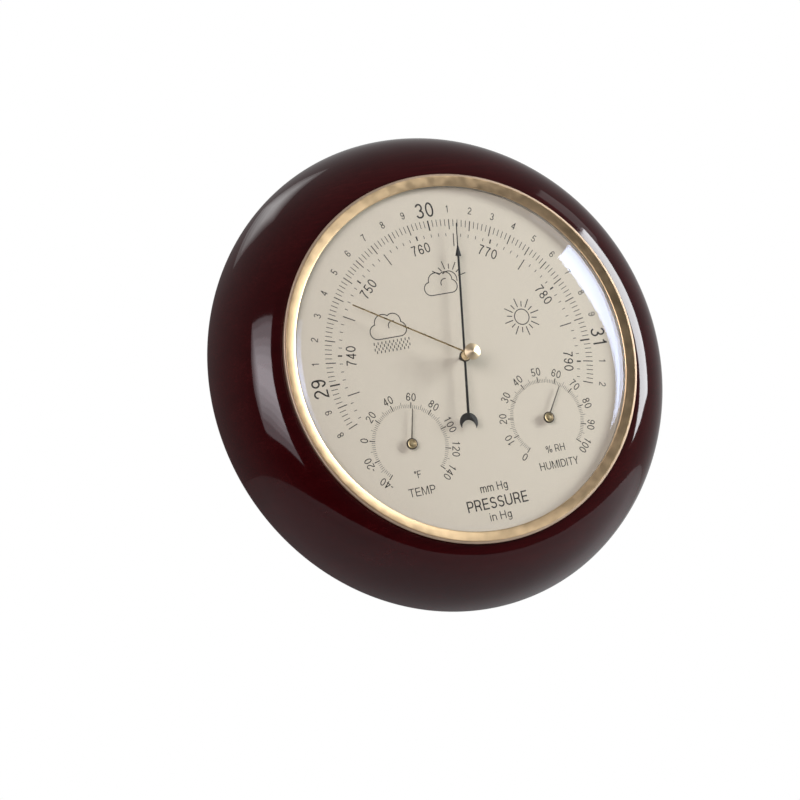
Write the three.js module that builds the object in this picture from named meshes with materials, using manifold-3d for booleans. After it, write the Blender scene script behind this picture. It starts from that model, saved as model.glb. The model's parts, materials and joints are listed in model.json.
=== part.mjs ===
// A wall weather station: a turned wooden ring round one metal case, which holds an aneroid barometer,
// a thermometer and a hygrometer behind one printed dial and one domed glass.
// Millimetres, +Z up. The wall is the plane y = 0 and the dial faces -Y.
// The origin is the top of the hanger's keyhole, where the nail bears.
// A depth is a distance in front of the wall, so a point at depth d has y = -d.
// An angle on the dial is in degrees clockwise from the top, seen from the front.

import * as THREE from 'three';
import { mergeVertices } from 'three/addons/utils/BufferGeometryUtils.js';
import Module from 'manifold-3d';

const wasm = await Module();
wasm.setup();

// Steps round a full turn, by the size of the piece
const LARGE = 56;
const CASE = 48;
const MIDDLE = 28;
const SMALL = 12;
const TINY = 8;
const KNOB = 18;
const CORNER = 3; // steps round each quarter of a rounded end or corner

// Clearances
const turnedGap = 0.3; // round a turned or cut piece in its neighbour
const looseGap = 0.5; // round a piece that drops into its place
const screwGap = 0.3; // round a screw in its hole
const pivotGap = 0.3; // round a pivot in its hole
const lift = 0.3; // between a moving piece and what it pushes
const overcut = 1; // how far a cut runs past the face that it starts from
const rooted = 0.3; // how far a stud or pin is sunk into the piece that carries it
const edgeBreak = 0.25; // narrow chamfer on a turned edge

// Wooden ring
const ringDiameter = 228.6;
const woodBorder = 26.95; // wood outside the bezel, seen from the front
const crestInset = 2.35; // the crest of the dome lies this far inside the bezel's edge
const domeCentreBehindWall = 10;
const crestAboveSeat = 0.2;
const rearRecess = 3;
const clipLedge = 12; // width of the recess outside the bore
const domeSteps = 8;

// Bezel, spun from sheet
const bezelSheet = 0.8;
const bezelOverhang = 1.85; // how far the bead covers the wood outside the skirt
const beadWidth = 1.3;
const beadHeight = 2.55; // above the wooden seat
const beadSteps = 3;
const crownHeight = 3.3; // the band's crown above the wooden seat
const crownShare = 0.6; // the crown's place, from the groove in to the lip
const bandSteps = 4;
const bandCover = 2.8; // how far the band's lip covers the edge of the glass
const rollWidth = 1.3; // lip turned in behind the case's flange

// Case pan, pressed from sheet
const panSheet = 1;
const flangeWidth = 4.7;
const panCorner = 2;
const ventRadius = 1.6;
const ventInset = 17.7; // vents inside the pan's wall
const ventCount = 4;

// Dial and glass
const dialThickness = 0.6;
const dialInset = 0.8; // dial's edge inside the flange's edge
const seatAboveDial = 1.4; // the wooden seat lies this far in front of the dial's face
const gasketThickness = 1.6;
const gasketWidth = 2.4;
const glassThickness = 1.8;
const domeRise = 9;
const domeGlassSteps = 4;

// Hanger: a keyhole plate let into the back of the wood
const hangerMargin = 2.75; // wood above and below the plate
const hangerShift = 1; // the plate lies this far inside the middle of the wood
const hangerWidth = 36;
const hangerThickness = 1.2;
const hangerCorner = 2;
const keyholeRadius = 3.8;
const slotWidth = 3.6;
const keyholeMargin = 1.25; // plate below the round hole
const slotTopMargin = 4.35; // plate above the slot
const nailPocketDepth = 7;
const hangerScrewSpan = 26;

// Screws: head radius, head height, shank radius, shank length
const panHeadFlat = 0.8; // share of a pan head's radius that its flat front takes
const hangerScrewSize = { head: 2.1, height: 1.1, shank: 1, length: 7.5 };
const clipScrewSize = { head: 2.8, height: 1.5, shank: 1.3, length: 5 };
const plateScrewSize = { head: 2.1, height: 1.2, shank: 0.9, length: 5 };
const bridgeScrewSize = { head: 1.6, height: 0.9, shank: 0.8, length: 3.2 };
const baseScrewSize = { head: 2.1, height: 1.3, shank: 0.9, length: 6 };

// Clips that hold the case in the wood
const clipAngles = [60, 180, 300];
const clipThickness = 1;
const clipWidth = 9;
const clipScrewInset = 4.7; // clip screw inside the case's wall
const clipOverlap = 11; // how far a clip reaches over the wood

// Movement: base, capsule, pillars and plates
const baseThickness = 1.5;
const plateEdge = 0.8; // base plate outside a pillar
const capsuleRadius = 25;
const capsuleThickness = 6.6;
const capsuleStud = 1.5;
const capsuleStudRadius = 3;
const capsuleRim = 1;
const capsuleBoss = 0.6;
const waveCount = 3;
const waveDepth = 0.9;
const waveInset = 1; // first wave outside the stud
const waveMargin = 2; // last wave inside the rim
const pillarRadius = 2.2;
const pillarClearance = 0.8;
const pillarAngles = [90, 210, 330];
const pillarBore = 5.5;
const postLength = 1.9;
const postRadius = 1.2;
const postFoot = 2.2;
const postFootHeight = 0.6;
const plateThickness = 0.8;
const plateCorner = 6;
const hairspringRoom = 1.8;
const sectorThickness = 1.2;
const tailPinLength = 1.2;
const bridgeRoom = 0.6; // between the tail pin and the bridge plate
const dialRoom = 2.6; // between the bridge plate and the dial
const bridgeWidth = 7;
const bridgePillarRadius = 1.6;
const bridgeReachPast = 6; // bridge pillar beyond the sector's pivot
const bridgeReachFar = 11.5; // bridge pillar on the other side of the pointer's axis

// Rocker: the capsule lifts the crank, and the arm swings the sector's tail
const crankLength = 3.5;
const crankTip = 0.6;
const rockerRadius = 0.8;
const rockerHub = 1.1;
const rockerEnd = 0.5; // the shaft beyond each bearing
const crankWidth = 2.4;
const armWidth = 1.2;
const armStandoff = 1.9; // the arm's middle above the rocker's axis
const armThickness = 1;
const noseHeight = 0.8;
const elbowReach = 1; // the arm's elbow in front of the plate
const armSlotMargin = 2; // slot in the plate beyond the arm's standoff
const earReach = 4; // rocker's bearings beyond the arm, and beyond the crank's far side
const crankEar = 9;
const earThickness = 1.2;
const earHeight = 5;
const earWall = 0.9; // behind the bearing

// Gears: a toothed sector turns the pinion on the pointer's arbor
const gearModule = 0.6;
const pinionTeeth = 8;
const sectorWheelTeeth = 48; // of the full wheel that the sector is cut from
const sectorTeeth = 10;
const addendum = 0.8; // in modules
const dedendum = 1.4; // in modules
const pinionFace = 2;
const sectorHub = 1.6;
const sectorPivot = 0.6;
const sectorRim = 2;
const sectorSpoke = 2;
const sectorHubMargin = 0.4; // blade round the hub
const sectorHubProud = 0.6; // hub proud of the blade on each side
const sectorShoulder = 60; // degrees from the last tooth to where the blade leaves its hub
const windowHub = 1.4; // blade between the spokes' root and the window
const windowTaper = 0.7; // the window's angle at the hub, as a share of that at the rim
const arcSteps = 6; // along the hub's and the window's arcs
const tailLength = 2.7;
const tailPinRadius = 0.45;
const tailBoss = 0.8;

// Springs: flat ribbons wound by formula
const hairspring = { inner: 2.5, turns: 4, pitch: 1.3, ribbon: 0.3, height: 0.6, anchor: 300 };
const bimetal = { inner: 2.1, turns: 4, pitch: 2.1, ribbon: 0.4, height: 3, anchor: 90 };
const springStepsPerTurn = 12;

// Arbors and hubs
const pointerArborRadius = 0.75;
const colletRadius = 2;
const colletHeight = 1;
const pivotInset = 0.1; // a pivot's end inside the face of its plate

// Barometer's pointer
const pointerAngle = 10.99; // 30.12 inches of mercury
const pointerHeight = 3.9; // its back face above the dial
const pointerThickness = 0.4;
const pointerTip = 63.7;
const arrowBase = 47.7;
const arrowLength = 5.3;
const arrowHalfWidth = 1.45;
const needleHalfWidth = 0.26;
const needleTipHalfWidth = 0.2;
const shaftHalfWidth = 0.52;
const tailHalfWidth = 0.62;
const crescentCentre = 31;
const crescentRadius = 4.45;
const crescentCutCentre = 33.5;
const crescentCutRadius = 3.5;
const tailIntoCrescent = 0.8;
const hubRadius = 2.65;
const hubThickness = 1;
const hubSleeve = 1.6;
const hubSleeveLength = 2;
const arborInHub = 0.25; // an arbor's end in front of its pointer
const boreEnd = 0.2; // a hub's bore beyond its arbor

// Set hand, turned by the knob in front of the glass
const setHandAngle = -56.4;
const setHandReach = 58.5;
const setHandHubHeight = 9.7; // above the dial at its collar
const setHandGlassGap = 0.43; // between the rod's tip and the glass's dome
const setHandRod = 0.4;
const setHandTipRod = 0.32;
const setHandRoot = 0.4; // the rod's start outside the collar's bore
const collarCover = 0.2; // collar in front of the rod
const collarRadius = 2.2;
const collarThickness = 1.6;
const setShaftRadius = 1.2;
const setShaftHead = 1.8;
const setShaftHeadHeight = 0.8;
const washerRadius = 2.6;
const washerThickness = 0.3;
const knobRadius = 3.9;
const knobNeck = 2.4; // the knob's radius at its back, which flares out to its rim
const knobFlare = 0.9;
const knobCone = 1.1; // the face's cone, from the rim to its tip
const knobBoreDepth = 1.2;

// Thermometer and hygrometer, alike but for their place and reading
const subDialOffset = 35; // across and below the dial's centre
const thermoAngle = 15.8; // 60.5 degrees Fahrenheit
const hygroAngle = 34.5; // 62.8 per cent
const subNeedleHeight = 1.5; // its back face above the dial
const subNeedleThickness = 0.3;
const subNeedleReach = 16.5;
const subNeedleHalfWidth = 0.3;
const subNeedleTipHalfWidth = 0.21;
const subNeedleTail = 2.1;
const subArborRadius = 0.5;
const subColletRadius = 1.6;
const subHubSleeve = 1.05;
const subSleeveHeight = 0.5; // the sleeve's back end above the dial
const subHubThickness = 0.8;
const subHubWall = 0.35;
const subHubBoss = 1.35;
const subHubCup = 0.35;
const strapSpan = 30;
const strapWidth = 6;
const strapSheet = 0.8;
const strapDepth = 7.2;
const strapFoot = 4.5;
const coilLift = 1; // coil in front of the strap
const anchorRadius = 0.6;

// Zero adjusting screw behind the capsule
const adjusterRadius = 2.2;
const adjusterHole = 3;
const adjusterProud = 1; // behind the pan
const slotCutWidth = 0.8;
const slotCutDepth = 1;

// Radii, worked inwards from the outside of the wood
const ringRadius = ringDiameter / 2;
const bezelRadius = ringRadius - woodBorder;
const skirtRadius = bezelRadius - bezelOverhang;
const skirtInner = skirtRadius - bezelSheet;
const flangeRadius = skirtInner - turnedGap;
const panRadius = flangeRadius - flangeWidth;
const boreRadius = panRadius + turnedGap;
const recessRadius = boreRadius + clipLedge;
const rebateRadius = skirtRadius + looseGap;
const glassRadius = flangeRadius - bandCover - turnedGap;
const bandInner = flangeRadius - bandCover;

// Depths, worked forwards from the wall
const panBack = rearRecess;
const baseBack = panBack + panSheet;
const baseFront = baseBack + baseThickness;
const capsuleBack = baseFront + capsuleStud;
const capsuleFront = capsuleBack + capsuleThickness;
const postFront = capsuleFront + postLength;
const rockerDepth = postFront + lift + crankTip;
const plateBack = rockerDepth + rockerHub + pivotGap;
const plateFront = plateBack + plateThickness;
const sectorBack = plateFront + hairspringRoom;
const sectorFront = sectorBack + sectorThickness;
const tailPinFront = sectorFront + tailPinLength;
const bridgeBack = tailPinFront + bridgeRoom;
const bridgeFront = bridgeBack + plateThickness;
const dialBack = bridgeFront + dialRoom;
const dialFace = dialBack + dialThickness;
const glassEdgeBack = dialFace + gasketThickness;
const glassEdgeFront = glassEdgeBack + glassThickness;
const seatDepth = dialFace + seatAboveDial;
const ringHeight = seatDepth + crestAboveSeat;
const flangeFront = dialBack;
const flangeBack = flangeFront - panSheet;
const rollBack = flangeBack - bezelSheet;
const rebateFloor = rollBack - looseGap;
const glassTop = glassEdgeFront + domeRise;

// The wood's dome is a quarter ellipse from the wall to the crest
const crestRadius = bezelRadius - crestInset;
const domeHeight = ringHeight + domeCentreBehindWall;
const domeWidth = (ringRadius - crestRadius) / Math.sqrt(1 - (domeCentreBehindWall / domeHeight) ** 2);

// Places in the movement, as [x, z] from the dial's axis
const pillarCircle = capsuleRadius + pillarClearance + pillarRadius;
const baseRadius = pillarCircle + pillarRadius + plateEdge;
const pinionPitchRadius = (gearModule * pinionTeeth) / 2;
const sectorPitchRadius = (gearModule * sectorWheelTeeth) / 2;
const centreDistance = pinionPitchRadius + sectorPitchRadius;
const pivotAngle = 90 + THREE.MathUtils.radToDeg(Math.asin(crankLength / centreDistance));
const pivotPlace = polar(centreDistance, pivotAngle);
const tailPlace = [pivotPlace[0] + tailLength, pivotPlace[1]];
const bridgeReaches = [centreDistance + bridgeReachPast, -bridgeReachFar];
const bridgePlaces = bridgeReaches.map((reach) => polar(reach, pivotAngle));
const earPlaces = [-crankEar, tailPlace[0] + earReach];

// Places on the wood's back, above the dial's axis
const hangerHeight = ringRadius - recessRadius - 2 * hangerMargin;
const hangerMiddle = (ringRadius + recessRadius) / 2 - hangerShift;
const keyholeZ = hangerMiddle - hangerHeight / 2 + keyholeMargin + keyholeRadius;
const hookZ = hangerMiddle + hangerHeight / 2 - slotTopMargin;

// Finishes
const mahogany = { color: 0x35100f, roughness: 0.18, metalness: 0 };
const brass = { color: 0xc2a163, roughness: 0.34, metalness: 1 };
const steel = { color: 0xa9a9a6, roughness: 0.35, metalness: 1 };
const blackened = { color: 0x1b1b1a, roughness: 0.45, metalness: 0.4 };
const greySteel = { color: 0x55524a, roughness: 0.4, metalness: 0.7 };
const panFinish = { color: 0xb9a26f, roughness: 0.4, metalness: 0.9 };
const printedDial = { color: 0xd8d0bc, roughness: 0.6, metalness: 0 };
const clearGlass = { color: 0xeaf2ee, roughness: 0.03, metalness: 0, transparent: true, opacity: 0.2 };
const paleRubber = { color: 0x8d8370, roughness: 0.8, metalness: 0 };
const springBronze = { color: 0xb07a45, roughness: 0.35, metalness: 1 };
const nickel = { color: 0xcfcabd, roughness: 0.25, metalness: 1 };

// Helpers for places and shapes

function polar(radius, degrees) {
  const angle = THREE.MathUtils.degToRad(degrees);
  return [radius * Math.sin(angle), radius * Math.cos(angle)];
}

// A sheet is drawn in x and z and lies square to the dial's axis: its thickness runs forwards.
const SHEET_TO_DIAL = new THREE.Matrix4().set(1, 0, 0, 0, 0, 0, -1, 0, 0, 1, 0, 0, 0, 0, 0, 1);

// A profile drawn in y and z is swept along x.
const PROFILE_TO_X = new THREE.Matrix4().set(0, 0, 1, 0, 1, 0, 0, 0, 0, 1, 0, 0, 0, 0, 0, 1);

// One closed surface with shared corners, no empty triangles and its faces pointing out
function closed(source) {
  const bare = source.clone();
  bare.deleteAttribute('normal');
  bare.deleteAttribute('uv');
  const merged = mergeVertices(bare);
  const corners = merged.index.array;
  const kept = [];
  for (let i = 0; i < corners.length; i += 3) {
    const [a, b, c] = [corners[i], corners[i + 1], corners[i + 2]];
    if (a !== b && b !== c && c !== a) kept.push(a, b, c);
  }
  if (signedVolume(merged.attributes.position, kept) < 0) {
    for (let i = 0; i < kept.length; i += 3) [kept[i], kept[i + 1]] = [kept[i + 1], kept[i]];
  }
  merged.setIndex(kept);
  return merged;
}

function signedVolume(position, corners) {
  const [a, b, c] = [new THREE.Vector3(), new THREE.Vector3(), new THREE.Vector3()];
  let volume = 0;
  for (let i = 0; i < corners.length; i += 3) {
    a.fromBufferAttribute(position, corners[i]);
    b.fromBufferAttribute(position, corners[i + 1]);
    c.fromBufferAttribute(position, corners[i + 2]);
    volume += a.dot(b.cross(c)) / 6;
  }
  return volume;
}

// A profile of [radius, depth] points turned about the dial's axis
function turned(profile, steps) {
  const points = profile.map(([radius, depth]) => new THREE.Vector2(radius, -depth));
  return closed(new THREE.LatheGeometry(points, steps));
}

// A turned profile that closes on itself, for a ring
function turnedRing(profile, steps) {
  return turned([...profile, profile[0]], steps);
}

function disc(radius, back, front, steps) {
  return turned([[0, back], [radius, back], [radius, front], [0, front]], steps);
}

function ringOf(inner, outer, back, front, steps) {
  return turnedRing([[inner, back], [outer, back], [outer, front], [inner, front]], steps);
}

function sheet(shape, back, front, curveSegments = CORNER) {
  const solid = new THREE.ExtrudeGeometry(shape, { depth: front - back, bevelEnabled: false, curveSegments });
  return closed(solid.applyMatrix4(SHEET_TO_DIAL).translate(0, -back, 0));
}

function sweptAlongX(shape, from, to, curveSegments = CORNER) {
  const solid = new THREE.ExtrudeGeometry(shape, { depth: to - from, bevelEnabled: false, curveSegments });
  return closed(solid.applyMatrix4(PROFILE_TO_X).translate(from, 0, 0));
}

function block(width, back, front, height, x, z) {
  const box = new THREE.BoxGeometry(width, front - back, height);
  return closed(box.translate(x, -(back + front) / 2, z));
}

// A round rod between two points, with its own radius at each end
function rod(from, to, radiusFrom, radiusTo, steps) {
  const [start, end] = [new THREE.Vector3(...from), new THREE.Vector3(...to)];
  const length = end.distanceTo(start);
  const along = end.clone().sub(start).normalize();
  const solid = new THREE.CylinderGeometry(radiusTo, radiusFrom, length, steps);
  solid.applyQuaternion(new THREE.Quaternion().setFromUnitVectors(new THREE.Vector3(0, 1, 0), along));
  return closed(solid.translate(...start.add(end).multiplyScalar(0.5).toArray()));
}

// A shape through the points, anticlockwise as the extrusion of a shape with holes needs it
function polygon(points) {
  const corners = points.map(([x, z]) => new THREE.Vector2(x, z));
  return new THREE.Shape(THREE.ShapeUtils.isClockWise(corners) ? corners.reverse() : corners);
}

function circlePoints(x, z, radius, steps) {
  return Array.from({ length: steps }, (unused, i) => {
    const [dx, dz] = polar(radius, (360 * i) / steps);
    return [x + dx, z + dz];
  });
}

// The outline of round corners joined by straight edges, for corners listed anticlockwise
function roundedOutline(corners, radius) {
  const shape = new THREE.Shape();
  corners.forEach(([x, z], i) => {
    const [px, pz] = corners[(i + corners.length - 1) % corners.length];
    const [nx, nz] = corners[(i + 1) % corners.length];
    const start = Math.atan2(z - pz, x - px) - Math.PI / 2;
    const end = Math.atan2(nz - z, nx - x) - Math.PI / 2;
    shape.absarc(x, z, radius, start, end, false);
  });
  shape.closePath();
  return shape;
}

// Helpers for joins and cuts

function solidOf(geometry) {
  const vertProperties = new Float32Array(geometry.attributes.position.array);
  const triVerts = new Uint32Array(geometry.index.array);
  return new wasm.Manifold(new wasm.Mesh({ numProp: 3, vertProperties, triVerts }));
}

function shaped(base, { add = [], cut = [] }) {
  let solid = solidOf(base);
  for (const piece of add) solid = solid.add(solidOf(piece));
  for (const piece of cut) solid = solid.subtract(solidOf(piece));
  const mesh = solid.getMesh();
  const geometry = new THREE.BufferGeometry();
  geometry.setAttribute('position', new THREE.BufferAttribute(mesh.vertProperties, 3));
  geometry.setIndex(new THREE.BufferAttribute(mesh.triVerts, 1));
  return geometry;
}

function roundAt(radius, back, front, x = 0, z = 0, steps = SMALL) {
  return disc(radius, back, front, steps).translate(x, 0, z);
}

// A named piece with its own material, set down at a place and turned to an angle on the dial
function piece(name, geometry, finish, [x, z] = [0, 0], degrees = 0) {
  const mesh = new THREE.Mesh(geometry, new THREE.MeshStandardMaterial(finish));
  mesh.name = name;
  mesh.position.set(x, 0, z);
  mesh.rotation.y = THREE.MathUtils.degToRad(degrees);
  return mesh;
}

function together(...pieces) {
  const group = new THREE.Group();
  group.add(...pieces);
  return group;
}

// Screws: a pan head whose underside lies at a depth, with the shank on the other side of it
function panScrew({ head, height, shank, length }, seat, shankForwards) {
  const way = shankForwards ? 1 : -1;
  const profile = [
    [0, seat - way * height],
    [head * panHeadFlat, seat - way * height],
    [head, seat],
    [shank, seat],
    [shank, seat + way * (length - shank)],
    [0, seat + way * length],
  ];
  return turned(profile, TINY);
}

// Wooden ring

function domeProfile() {
  const first = Math.asin(domeCentreBehindWall / domeHeight);
  const last = Math.asin((seatDepth + domeCentreBehindWall) / domeHeight);
  return Array.from({ length: domeSteps + 1 }, (unused, i) => {
    const angle = first + ((last - first) * i) / domeSteps;
    const radius = crestRadius + domeWidth * Math.cos(angle);
    return [radius, domeHeight * Math.sin(angle) - domeCentreBehindWall];
  });
}

function woodRing() {
  const profile = domeProfile();
  profile[0][1] = 0;
  profile[domeSteps][1] = seatDepth;
  const turnedWood = turnedRing(
    [
      ...profile,
      [rebateRadius, seatDepth],
      [rebateRadius, rebateFloor],
      [boreRadius, rebateFloor],
      [boreRadius, rearRecess],
      [recessRadius, rearRecess],
      [recessRadius, 0],
    ],
    LARGE,
  );
  const plateWidth = hangerWidth + 2 * turnedGap;
  const plateHeight = hangerHeight + 2 * turnedGap;
  const behind = -overcut;
  const pocketBottom = keyholeZ - keyholeRadius;
  const pocketHeight = hookZ + keyholeRadius - pocketBottom;
  const pocketMiddle = pocketBottom + pocketHeight / 2;
  const pocketWidth = 2 * (keyholeRadius + slotWidth / 2);
  const pocket = block(pocketWidth, behind, nailPocketDepth, pocketHeight, 0, pocketMiddle);
  const letIn = block(plateWidth, behind, hangerThickness, plateHeight, 0, hangerMiddle);
  const { shank, length } = hangerScrewSize;
  const pilots = hangerScrewPlaces().map(([x, z]) =>
    roundAt(shank + screwGap, behind, hangerThickness + length + screwGap, x, z, TINY),
  );
  return shaped(turnedWood, { cut: [letIn, pocket, ...pilots] });
}

// Hanger

function hangerScrewPlaces() {
  return [[-hangerScrewSpan / 2, hangerMiddle], [hangerScrewSpan / 2, hangerMiddle]];
}

function keyholePath() {
  const half = slotWidth / 2;
  const shoulder = Math.acos(half / keyholeRadius);
  const path = new THREE.Path();
  path.moveTo(half, hookZ - half);
  path.absarc(0, hookZ - half, half, 0, Math.PI, false);
  path.absarc(0, keyholeZ, keyholeRadius, Math.PI - shoulder, 2 * Math.PI + shoulder, false);
  path.closePath();
  return path;
}

function hangerPlate() {
  const halfWidth = hangerWidth / 2 - hangerCorner;
  const halfHeight = hangerHeight / 2 - hangerCorner;
  const corners = [
    [halfWidth, hangerMiddle - halfHeight],
    [halfWidth, hangerMiddle + halfHeight],
    [-halfWidth, hangerMiddle + halfHeight],
    [-halfWidth, hangerMiddle - halfHeight],
  ];
  const outline = roundedOutline(corners, hangerCorner);
  outline.holes.push(keyholePath());
  const countersinks = hangerScrewPlaces().map(([x, z]) => countersink(screwGap).translate(x, 0, z));
  return shaped(sheet(outline, 0, hangerThickness), { cut: countersinks });
}

// The space of a flush screw's head and shank, grown by a clearance and run out past the plate
function countersink(grow) {
  const { head, height, shank } = hangerScrewSize;
  const profile = [
    [0, -overcut],
    [head + grow, -overcut],
    [head + grow, hangerThickness - height],
    [shank + grow, hangerThickness],
    [shank + grow, hangerThickness + overcut],
    [0, hangerThickness + overcut],
  ];
  return turned(profile, TINY);
}

function hangerScrew() {
  const { head, height, shank, length } = hangerScrewSize;
  const profile = [
    [0, hangerThickness - height],
    [head, hangerThickness - height],
    [shank, hangerThickness],
    [shank, hangerThickness + length - shank],
    [0, hangerThickness + length],
  ];
  return turned(profile, TINY);
}

// Clips

const clipScrewRadius = panRadius - clipScrewInset;

function caseClip() {
  const half = clipWidth / 2;
  const outline = roundedOutline([[0, clipScrewRadius], [0, boreRadius + clipOverlap - half]], half);
  const strip = sheet(outline, panBack - clipThickness, panBack);
  const bore = roundAt(clipScrewSize.shank + screwGap, 0, panBack + overcut, 0, clipScrewRadius, TINY);
  return shaped(strip, { cut: [bore] });
}

// Case pan

function casePan() {
  const wall = panRadius - panSheet;
  const profile = [
    [0, panBack],
    [panRadius - panCorner, panBack],
    [panRadius, panBack + panCorner],
    [panRadius, flangeBack],
    [flangeRadius, flangeBack],
    [flangeRadius, flangeFront],
    [wall, flangeFront],
    [wall, baseBack],
    [0, baseBack],
  ];
  const through = [panBack - overcut, baseBack + overcut];
  const cuts = [roundAt(adjusterHole, ...through)];
  for (const angle of pillarAngles) {
    cuts.push(roundAt(baseScrewSize.shank + screwGap, ...through, ...polar(pillarCircle, angle), TINY));
  }
  for (const angle of clipAngles) {
    cuts.push(roundAt(clipScrewSize.shank + screwGap, ...through, ...polar(clipScrewRadius, angle), TINY));
  }
  for (let i = 0; i < ventCount; i += 1) {
    cuts.push(roundAt(ventRadius, ...through, ...polar(panRadius - ventInset, (360 * i) / ventCount), TINY));
  }
  return shaped(turned(profile, CASE), { cut: cuts });
}

// Dial, gasket, glass and bezel

function dialPlate() {
  const dial = polygon(circlePoints(0, 0, flangeRadius - dialInset, CASE));
  const arborHole = circlePoints(0, 0, pointerArborRadius + looseGap, SMALL);
  const subHoles = subDialPlaces.map((place) => circlePoints(...place, subArborRadius + pivotGap, TINY));
  for (const points of [arborHole, ...subHoles]) dial.holes.push(polygon(points));
  return sheet(dial, dialBack, dialFace);
}

function lensGasket() {
  return ringOf(flangeRadius - gasketWidth, flangeRadius, dialFace, glassEdgeBack, CASE);
}

// Depth at a radius of a dome that stands on the glass's rim, offset inwards by a thickness
const glassCurve = (glassRadius ** 2 + domeRise ** 2) / (2 * domeRise);

function domeAt(radius, inwards) {
  return Math.sqrt((glassCurve - inwards) ** 2 - radius ** 2) - glassCurve + glassTop;
}

function lensProfile() {
  const bore = setShaftRadius + pivotGap;
  const innerCurve = glassCurve - glassThickness;
  const innerReach = Math.sqrt(innerCurve ** 2 - (glassCurve - glassTop + glassEdgeBack) ** 2);
  const outer = [];
  const inner = [];
  for (let i = 0; i < domeGlassSteps; i += 1) {
    const share = i / domeGlassSteps;
    const outerRadius = bore + (glassRadius - bore) * share;
    const innerRadius = bore + (innerReach - bore) * share;
    outer.push([outerRadius, domeAt(outerRadius, 0)]);
    inner.push([innerRadius, domeAt(innerRadius, glassThickness)]);
  }
  const rim = [
    [glassRadius, glassEdgeFront],
    [flangeRadius, glassEdgeFront],
    [flangeRadius, glassEdgeBack],
    [innerReach, glassEdgeBack],
  ];
  return [...outer, ...rim, ...inner.reverse()];
}

const beadRound = beadWidth / 2;
const grooveDepth = seatDepth + beadHeight - beadRound;

// The bead's round top, from its outer side over to the groove
function beadPoints() {
  return Array.from({ length: beadSteps + 1 }, (unused, i) => {
    const angle = (Math.PI * i) / beadSteps;
    return [bezelRadius - beadRound * (1 - Math.cos(angle)), grooveDepth + beadRound * Math.sin(angle)];
  });
}

// The band's convex face, from the groove over its crown to the lip
function bandPoints() {
  const width = bezelRadius - beadWidth - bandInner;
  const crown = seatDepth + crownHeight;
  return Array.from({ length: bandSteps }, (unused, i) => {
    const share = (i + 1) / bandSteps;
    const aside = (share - crownShare) / crownShare;
    return [bezelRadius - beadWidth - width * share, crown - (crown - grooveDepth) * aside ** 2];
  });
}

function bezel() {
  const profile = [
    [bezelRadius, seatDepth],
    ...beadPoints(),
    ...bandPoints(),
    [bandInner, glassEdgeFront],
    [skirtInner, glassEdgeFront],
    [skirtInner, flangeBack],
    [skirtInner - rollWidth, flangeBack],
    [skirtInner - rollWidth, rollBack],
    [skirtRadius, rollBack],
    [skirtRadius, seatDepth],
  ];
  return turnedRing(profile, LARGE);
}

// Movement frame

function movementBase() {
  const through = [baseBack - overcut, baseFront + overcut];
  const cuts = [roundAt(adjusterRadius + turnedGap, ...through)];
  for (const angle of pillarAngles) {
    const place = polar(pillarCircle, angle);
    cuts.push(roundAt(baseScrewSize.shank + screwGap, ...through, ...place, TINY));
  }
  return shaped(disc(baseRadius, baseBack, baseFront, MIDDLE), { cut: cuts });
}

function pillar() {
  const bore = plateScrewSize.shank + screwGap;
  const profile = [
    [0, baseFront + pillarBore],
    [bore, baseFront + pillarBore],
    [bore, baseFront],
    [pillarRadius, baseFront],
    [pillarRadius, plateBack],
    [bore, plateBack],
    [bore, plateBack - pillarBore],
    [0, plateBack - pillarBore],
  ];
  return turned(profile, SMALL);
}

function ear(x) {
  const back = rockerDepth - rockerRadius - pivotGap - earWall;
  return block(earThickness, back, plateBack + rooted, earHeight, x, -crankLength);
}

function mechanismPlate() {
  const corners = [...pillarAngles].reverse().map((angle) => polar(pillarCircle, angle));
  const plate = sheet(roundedOutline(corners, plateCorner), plateBack, plateFront);
  const through = [plateBack - overcut, plateFront + overcut];
  const halfEar = earThickness / 2 + overcut;
  const bearingRadius = rockerRadius + pivotGap;
  const cuts = [
    roundAt(pointerArborRadius + pivotGap, ...through, 0, 0, TINY),
    roundAt(sectorPivot + pivotGap, ...through, ...pivotPlace, TINY),
    block(armWidth + 2 * looseGap, ...through, armSlotHeight, tailPlace[0], armSlotMiddle),
  ];
  const screwBore = plateScrewSize.shank + screwGap;
  for (const corner of corners) cuts.push(roundAt(screwBore, ...through, ...corner, TINY));
  for (const x of earPlaces) {
    const bearing = rod([x - halfEar, 0, 0], [x + halfEar, 0, 0], bearingRadius, bearingRadius, TINY);
    cuts.push(bearing.translate(0, -rockerDepth, -crankLength));
  }
  const studFront = hairspringBack + hairspring.height;
  const stud = roundAt(anchorRadius, plateFront - rooted, studFront, ...anchorPlace(hairspring), TINY);
  return shaped(plate, { add: [...earPlaces.map(ear), stud], cut: cuts });
}

function bridgePlate() {
  const plate = sheet(roundedOutline([...bridgePlaces].reverse(), bridgeWidth / 2), bridgeBack, bridgeFront);
  const through = [bridgeBack - overcut, bridgeFront + overcut];
  const cuts = [
    roundAt(pointerArborRadius + pivotGap, ...through, 0, 0, TINY),
    roundAt(sectorPivot + pivotGap, ...through, ...pivotPlace, TINY),
  ];
  const screwBore = bridgeScrewSize.shank + screwGap;
  for (const place of bridgePlaces) cuts.push(roundAt(screwBore, ...through, ...place, TINY));
  return shaped(plate, { cut: cuts });
}

function bridgePillar() {
  const bore = bridgeScrewSize.shank + screwGap;
  const profile = [
    [0, plateFront],
    [bridgePillarRadius, plateFront],
    [bridgePillarRadius, bridgeBack],
    [bore, bridgeBack],
    [bore, bridgeFront - bridgeScrewSize.length - screwGap],
    [0, bridgeFront - bridgeScrewSize.length - screwGap],
  ];
  return turned(profile, SMALL);
}

// Aneroid capsule: two corrugated diaphragms joined at the rim, with a stud behind and a boss in front

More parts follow.
